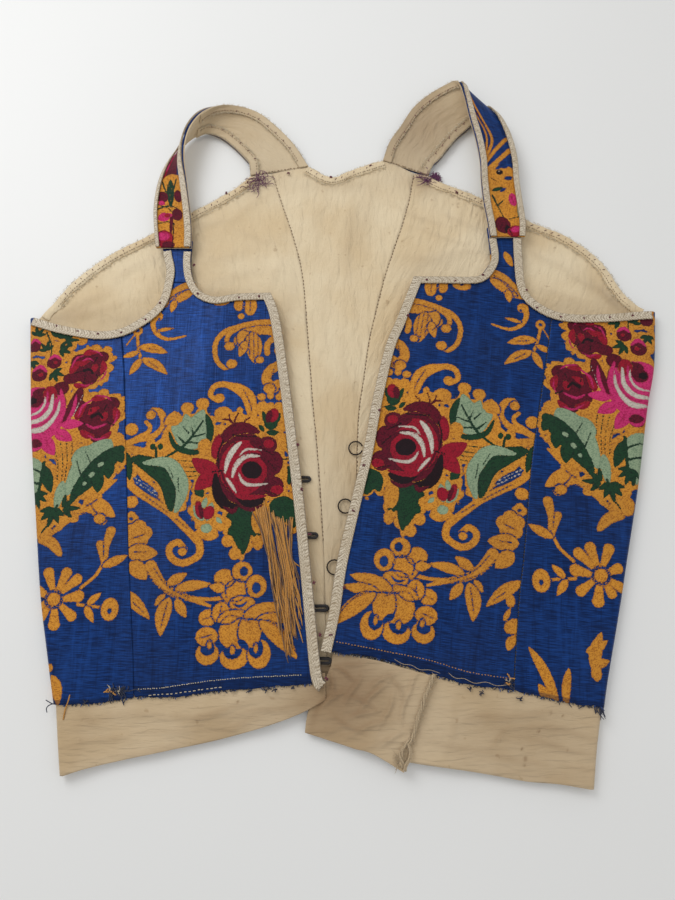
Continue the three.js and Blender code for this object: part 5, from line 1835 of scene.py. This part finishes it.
# %% Seams and hems
brown, cream, tawny, black = [], [], [], []
for seed, (name, (table, side)) in enumerate(SIDES.items()):
    brown += running(laid(table["back_seam"][1:], LINING_TOP, back_lift), 2.8, 1.55, 50 + seed)
    brown += running(laid(STRAPS[name][0, :, :2], LINING_TOP + 0.7), 2.4, 1.4, 52 + seed)
cream += running(on_silk("-121 -199  -105 -198  -82 -194.7  -56 -192.4  -24 -191"), 1.35, 0.8, 54)
cream += running(on_silk("-115 -202.4  -100 -201.4  -82 -199  -70 -197.6"), 2.6, 1.7, 55)
tawny += running(on_silk("-4 -172  21.5 -176.7  51 -182.5  76 -189.5  100 -193"), 1.8, 1.05, 56)
couched = [on_silk(spline(listed(rows)), 0.1, 1.5) for rows in (
    "31 -182  36 -184.8  41 -185.4  46 -188  52 -188.2  58 -190",
    "63 -189.8  67 -192.8  72 -193  78 -195.6  85 -195  91 -197  98 -196.4")]
black += running(on_silk(RIGHT["seam"]), 2.1, 1.5, 57)
tubes("back_seam_stitches", brown, 0.29, "brown")
tubes("hem_stitches_pale", cream, 0.26, "cream")
tubes("couched_threads", couched, 0.15, "tan")
tubes("hem_stitches_tawny", tawny, 0.26, "gold")
tubes("side_seam_stitches", black, 0.36, "black")


# %% Stitches and fluff of the turned hems
def strap_edge(name, side, edge, inside):
    """a line along the back of a strap, `inside` mm from one of its edges"""
    neck, arm, out = strap_lines(name, side, np.linspace(0.02, HEM_STOP[name], 90))
    width = np.linalg.norm(arm - neck, axis=1)[:, None]
    share = inside / width if edge == "neck" else 1 - inside / width
    return neck + (arm - neck) * share - out * (GAP / 2 + STEP + HEM_THICK + 0.15)


brown, purple, fluff = [], [], []
hems = [(table["back_armhole"][1:], side) for table, side in SIDES.values()] + [(BACK_NECK, -1)]
for seed, (rows, out) in enumerate(hems, 60):
    path = laid(rows, TURNED_TOP + 0.2, back_lift)
    edge = beside(path, out * 6.0, 0.5)
    brown += running(beside(path, out * 4.6), 1.9, 1.1, seed)
    purple += slanting(beside(path, out * 2.2), -0.8, 1.0, 5.2, seed + 3)
    fluff += frays(edge, out, seed + 6, int(length_of(edge) * 2.2), 0.5, 2.2, 0.3)
    fluff += frays(path, -out, seed + 9, int(length_of(path) * 1.5), 0.4, 1.7, 0.5)
seed = 80
for name, (_, side) in SIDES.items():
    for edge, towards in zip(EDGES, (side, -side)):
        inner, outer, torn = (strap_edge(name, side, edge, inside) for inside in (5.0, 0.4, 6.0))
        brown += running(inner, 2.2, 1.2, seed)
        fluff += frays(torn, -towards, seed + 4, 190, 0.5, 2.4)
        fluff += frays(outer, towards, seed + 12, 130, 0.4, 1.9)
        purple += slanting(inner, -1.4, 0.2, 9.0, seed + 18)
        seed += 1
    seed += 2
tubes("turned_hem_stitches", brown, 0.2, "brown")
tubes("turned_hem_purple_stitches", purple, 0.26, "maroon")
tubes("turned_hem_fluff", fluff, 0.15, "cream")

# %% Knots, tangles and the fluff at the strap roots
KNOTS = [                               # height, size, first seed and places
    (BRAID_TOP, 1.3, 110, "-29 -48  -26 -78  -20.5 -107  -17.5 -137  -13.5 -168  -9.5 -193"),
    (BRAID_TOP, 1.2, 120, "46 46  35 10  25 -24  14 -62  7 -92  1 -140  -7 -168"),
    (BRAID_TOP, 1.1, 130, "-105 86  -101 63  -72 60  -58 61  100 78  80 73  60 74"),
    (BRAID_TOP - 0.1, 0.9, 130, "-152 33  -168 32  -182 34  -197 38  -136 43  -127 56"),
    (BRAID_TOP - 0.1, 0.9, 150, "152 45  168 44  186 44.5  202 46  136 52  130 66"),
    (TURNED_TOP + 0.4, 1.2, 160, "-70.5 160  -86 150.5  -40 168  -8 164.5  22 175  86 151  118 137"),
]
knots = []
for height, size, first_seed, places in KNOTS:
    for seed, (x, y) in enumerate(listed(places), first_seed):
        knots += knot(x, y, height, size, seed)
tubes("maroon_knots", knots, 0.3, "maroon")
tubes("purple_tangles", tangle(-62, 160.5, TURNED_TOP, 8, 7, 34, 9, 170)
      + tangle(63, 163, TURNED_TOP, 6, 5, 26, 7, 171), 0.22, "purple")
tubes("purple_fluff", tangle(71.5, 165.5, 1.6, 3.4, 3.0, 90, 4, 172), 0.24, "purple")

# %% The fringe of the raw hems
navy, blue, pale, gold = [], [], [], []
for side, low, high, count in ((-1, -168, -14, 190), (1, -8, 153, 210)):
    x = np.arange(low, high, 0.8)
    edge = np.column_stack([x, raw_edge(x, side) + 0.4, np.full(len(x), FRONT_TOP - 0.5)])
    navy += frays(edge, -1, 180 + side, count, 0.5, 2.2, 0.5)
    blue += frays(edge, -1, 184 + side, count // 3, 0.6, 2.6, 0.5)
    under = edge - [0, 0.6, 0.6]
    pale += frays(under, -1, 188 + side, count, 0.5, 2.4, 0.2)
navy += frays(laid("148 -208  154 -208.5", FRONT_TOP - 0.6), -1, 190, 12, 4, 8, 0.5, 0.3)
navy += frays(laid("118 -202  144 -207", FRONT_TOP - 0.4), -1, 191, 12, 2, 5, 0.5, 1.2)
navy += [spline(listed(rows, 3), 4) for rows in (
    "-166 -206.6 7  -170 -207.2 6.6  -173 -206 6.4  -175 -205 6.2",
    "-167 -207 6.6  -171.5 -207.4 6.2  -174 -209.4 6  -173.6 -212 5.6",
    "-133.5 -197 7.4  -132 -200 7.6  -130 -204 7.2  -128.4 -208 6.8",
    "-132.5 -198 7.4  -129 -201 7.7  -127.6 -204 7.3  -129 -207 6.9",
    "-131 -199 7.4  -126 -200 7.6  -122 -199 7.6  -119 -200.5 7.4")]
gold += [spline(listed("-160.6 -202 7.4  -161.4 -206 7.2  -162.8 -210.5 6.6  -163.4 -216 6.3", 3), 4)]
tufts = listed("-65 -199.5  -55 -200  -46 -199.4  -40 -199.6  -29 -198.6  75 -199  82 -201  104 -204"
               "  -151 -206")
for seed, (x, y) in enumerate(tufts, 200):
    navy += tangle(x, y, FRONT_TOP - 0.4, 1.1, 0.6, 5, 1.8, seed)
pale += tangle(-135, -199.6, FRONT_TOP, 6, 1.8, 5, 4, 210) + tangle(99, -195, FRONT_TOP, 1.2, 3.4, 5, 3, 211)
gold += tangle(-137, -200, FRONT_TOP, 4, 1.6, 4, 3.4, 212) + tangle(99, -195, FRONT_TOP, 1.0, 3.4, 4, 3, 213)
navy += tangle(-134, -200.6, FRONT_TOP, 9, 2.0, 22, 4.4, 214) + tangle(99, -196, FRONT_TOP, 1.6, 3, 8, 3, 215)
tubes("hem_fringe_navy", navy, 0.3, "navy")
tubes("hem_fringe_blue", blue, 0.24, "blue")
tubes("hem_fringe_pale", pale, 0.15, "cream")

# %% The loose gold threads on the left front, and single pulled threads
chance = np.random.default_rng(220)
HANKS = listed("""
-54 -92 -47 -118 -41 -146 7  -51 -90 -44 -122 -38 -158 8  -48 -93 -43 -118 -33 -164 9
-45 -94 -37 -124 -31 -171 9  -41 -96 -36 -120 -29 -168 9  -38 -98 -33 -126 -25 -160 8
-34 -97 -32 -118 -27 -142 6  -52 -91 -40 -130 -36 -150 5
""", 7)                                 # top x y, a bend between, foot x y, number of threads
worn = []
for *stations, count in HANKS:
    for _ in range(int(count)):
        stray = chance.normal(0, 1, (3, 2)) * [[1.3, 2.0], [0.7, 2.0], [0.8, 8.0]]
        ends = np.reshape(stations, (3, 2)) + stray
        line = walk(spline(ends), np.linspace(0, 1, 20))
        t = np.linspace(0, 1, len(line))
        line[:, 0] += 1.1 * np.sin(chance.uniform(8, 15) * t + chance.uniform(0, 6)) * t
        lift = 0.25 + chance.uniform(0.3, 2.4) * np.sin(math.pi * t) ** 0.7
        worn.append(np.column_stack([line, FRONT_TOP + front_lift(*xy(line)) + lift]))
gold += [line for k, line in enumerate(worn) if k % 5]
tubes("loose_gold_threads", gold, 0.42, "gold")
tubes("loose_dark_threads", worn[::5], 0.36, "brown")

# %% The rolled, frayed edge of the underlap
line = even(spline(listed("""
54 -190.5 8.2  50.6 -198.4 8.4  46.6 -207.6 8.4  42.4 -219.4 8.3  40 -226 8.2  36 -229 8.6  33.6 -234 8.6
34.4 -241 8.0
""", 3)), 0.9)
upward = np.array([0.0, 0.0, 1.0])
side_way = unit(np.cross(unit(np.gradient(line, axis=0)), upward))
turns = np.cumsum(np.full(len(line), 0.42))
strands = []
for phase in (0.0, 2.1, 4.2):
    swell = 0.62 + wander(len(line), 230 + int(phase), 0.34, len(line) // 3)
    around = np.cos(turns + phase)[:, None] * side_way + np.sin(turns + phase)[:, None] * upward
    strands.append(line + around * swell[:, None])
loop = spline(listed("37 -228 9  38.4 -231.6 9.2  38 -236 9  35.6 -240 8.6  35 -243 8", 3), 5)
tubes("underlap_roll", [*strands, loop, loop + [0.8, -0.4, -0.5]], 0.62, "tan")
tubes("underlap_frays", frays(line, 1, 240, 170, 0.8, 3.2) + frays(line, -1, 241, 130, 0.8, 2.6)
      + frays(line[-6:], -1, 242, 60, 1.5, 5.5), 0.15, "tan")

# %% [markdown]
# ## Sizes
# The box of the solids and the box of the finished looks are written down side by side.

# %% The two boxes side by side, and the faces in all
LOOKS_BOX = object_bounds()
for label, box in (("solids", CAD_BOX), ("looks", LOOKS_BOX)):
    print(label, [[round(v * 1000, 1) for v in corner] for corner in box])
total = sum(len(piece.data.polygons) for piece in bpy.data.objects
            if piece.type == "MESH" and not piece.hide_render)
print("faces in all:", total)
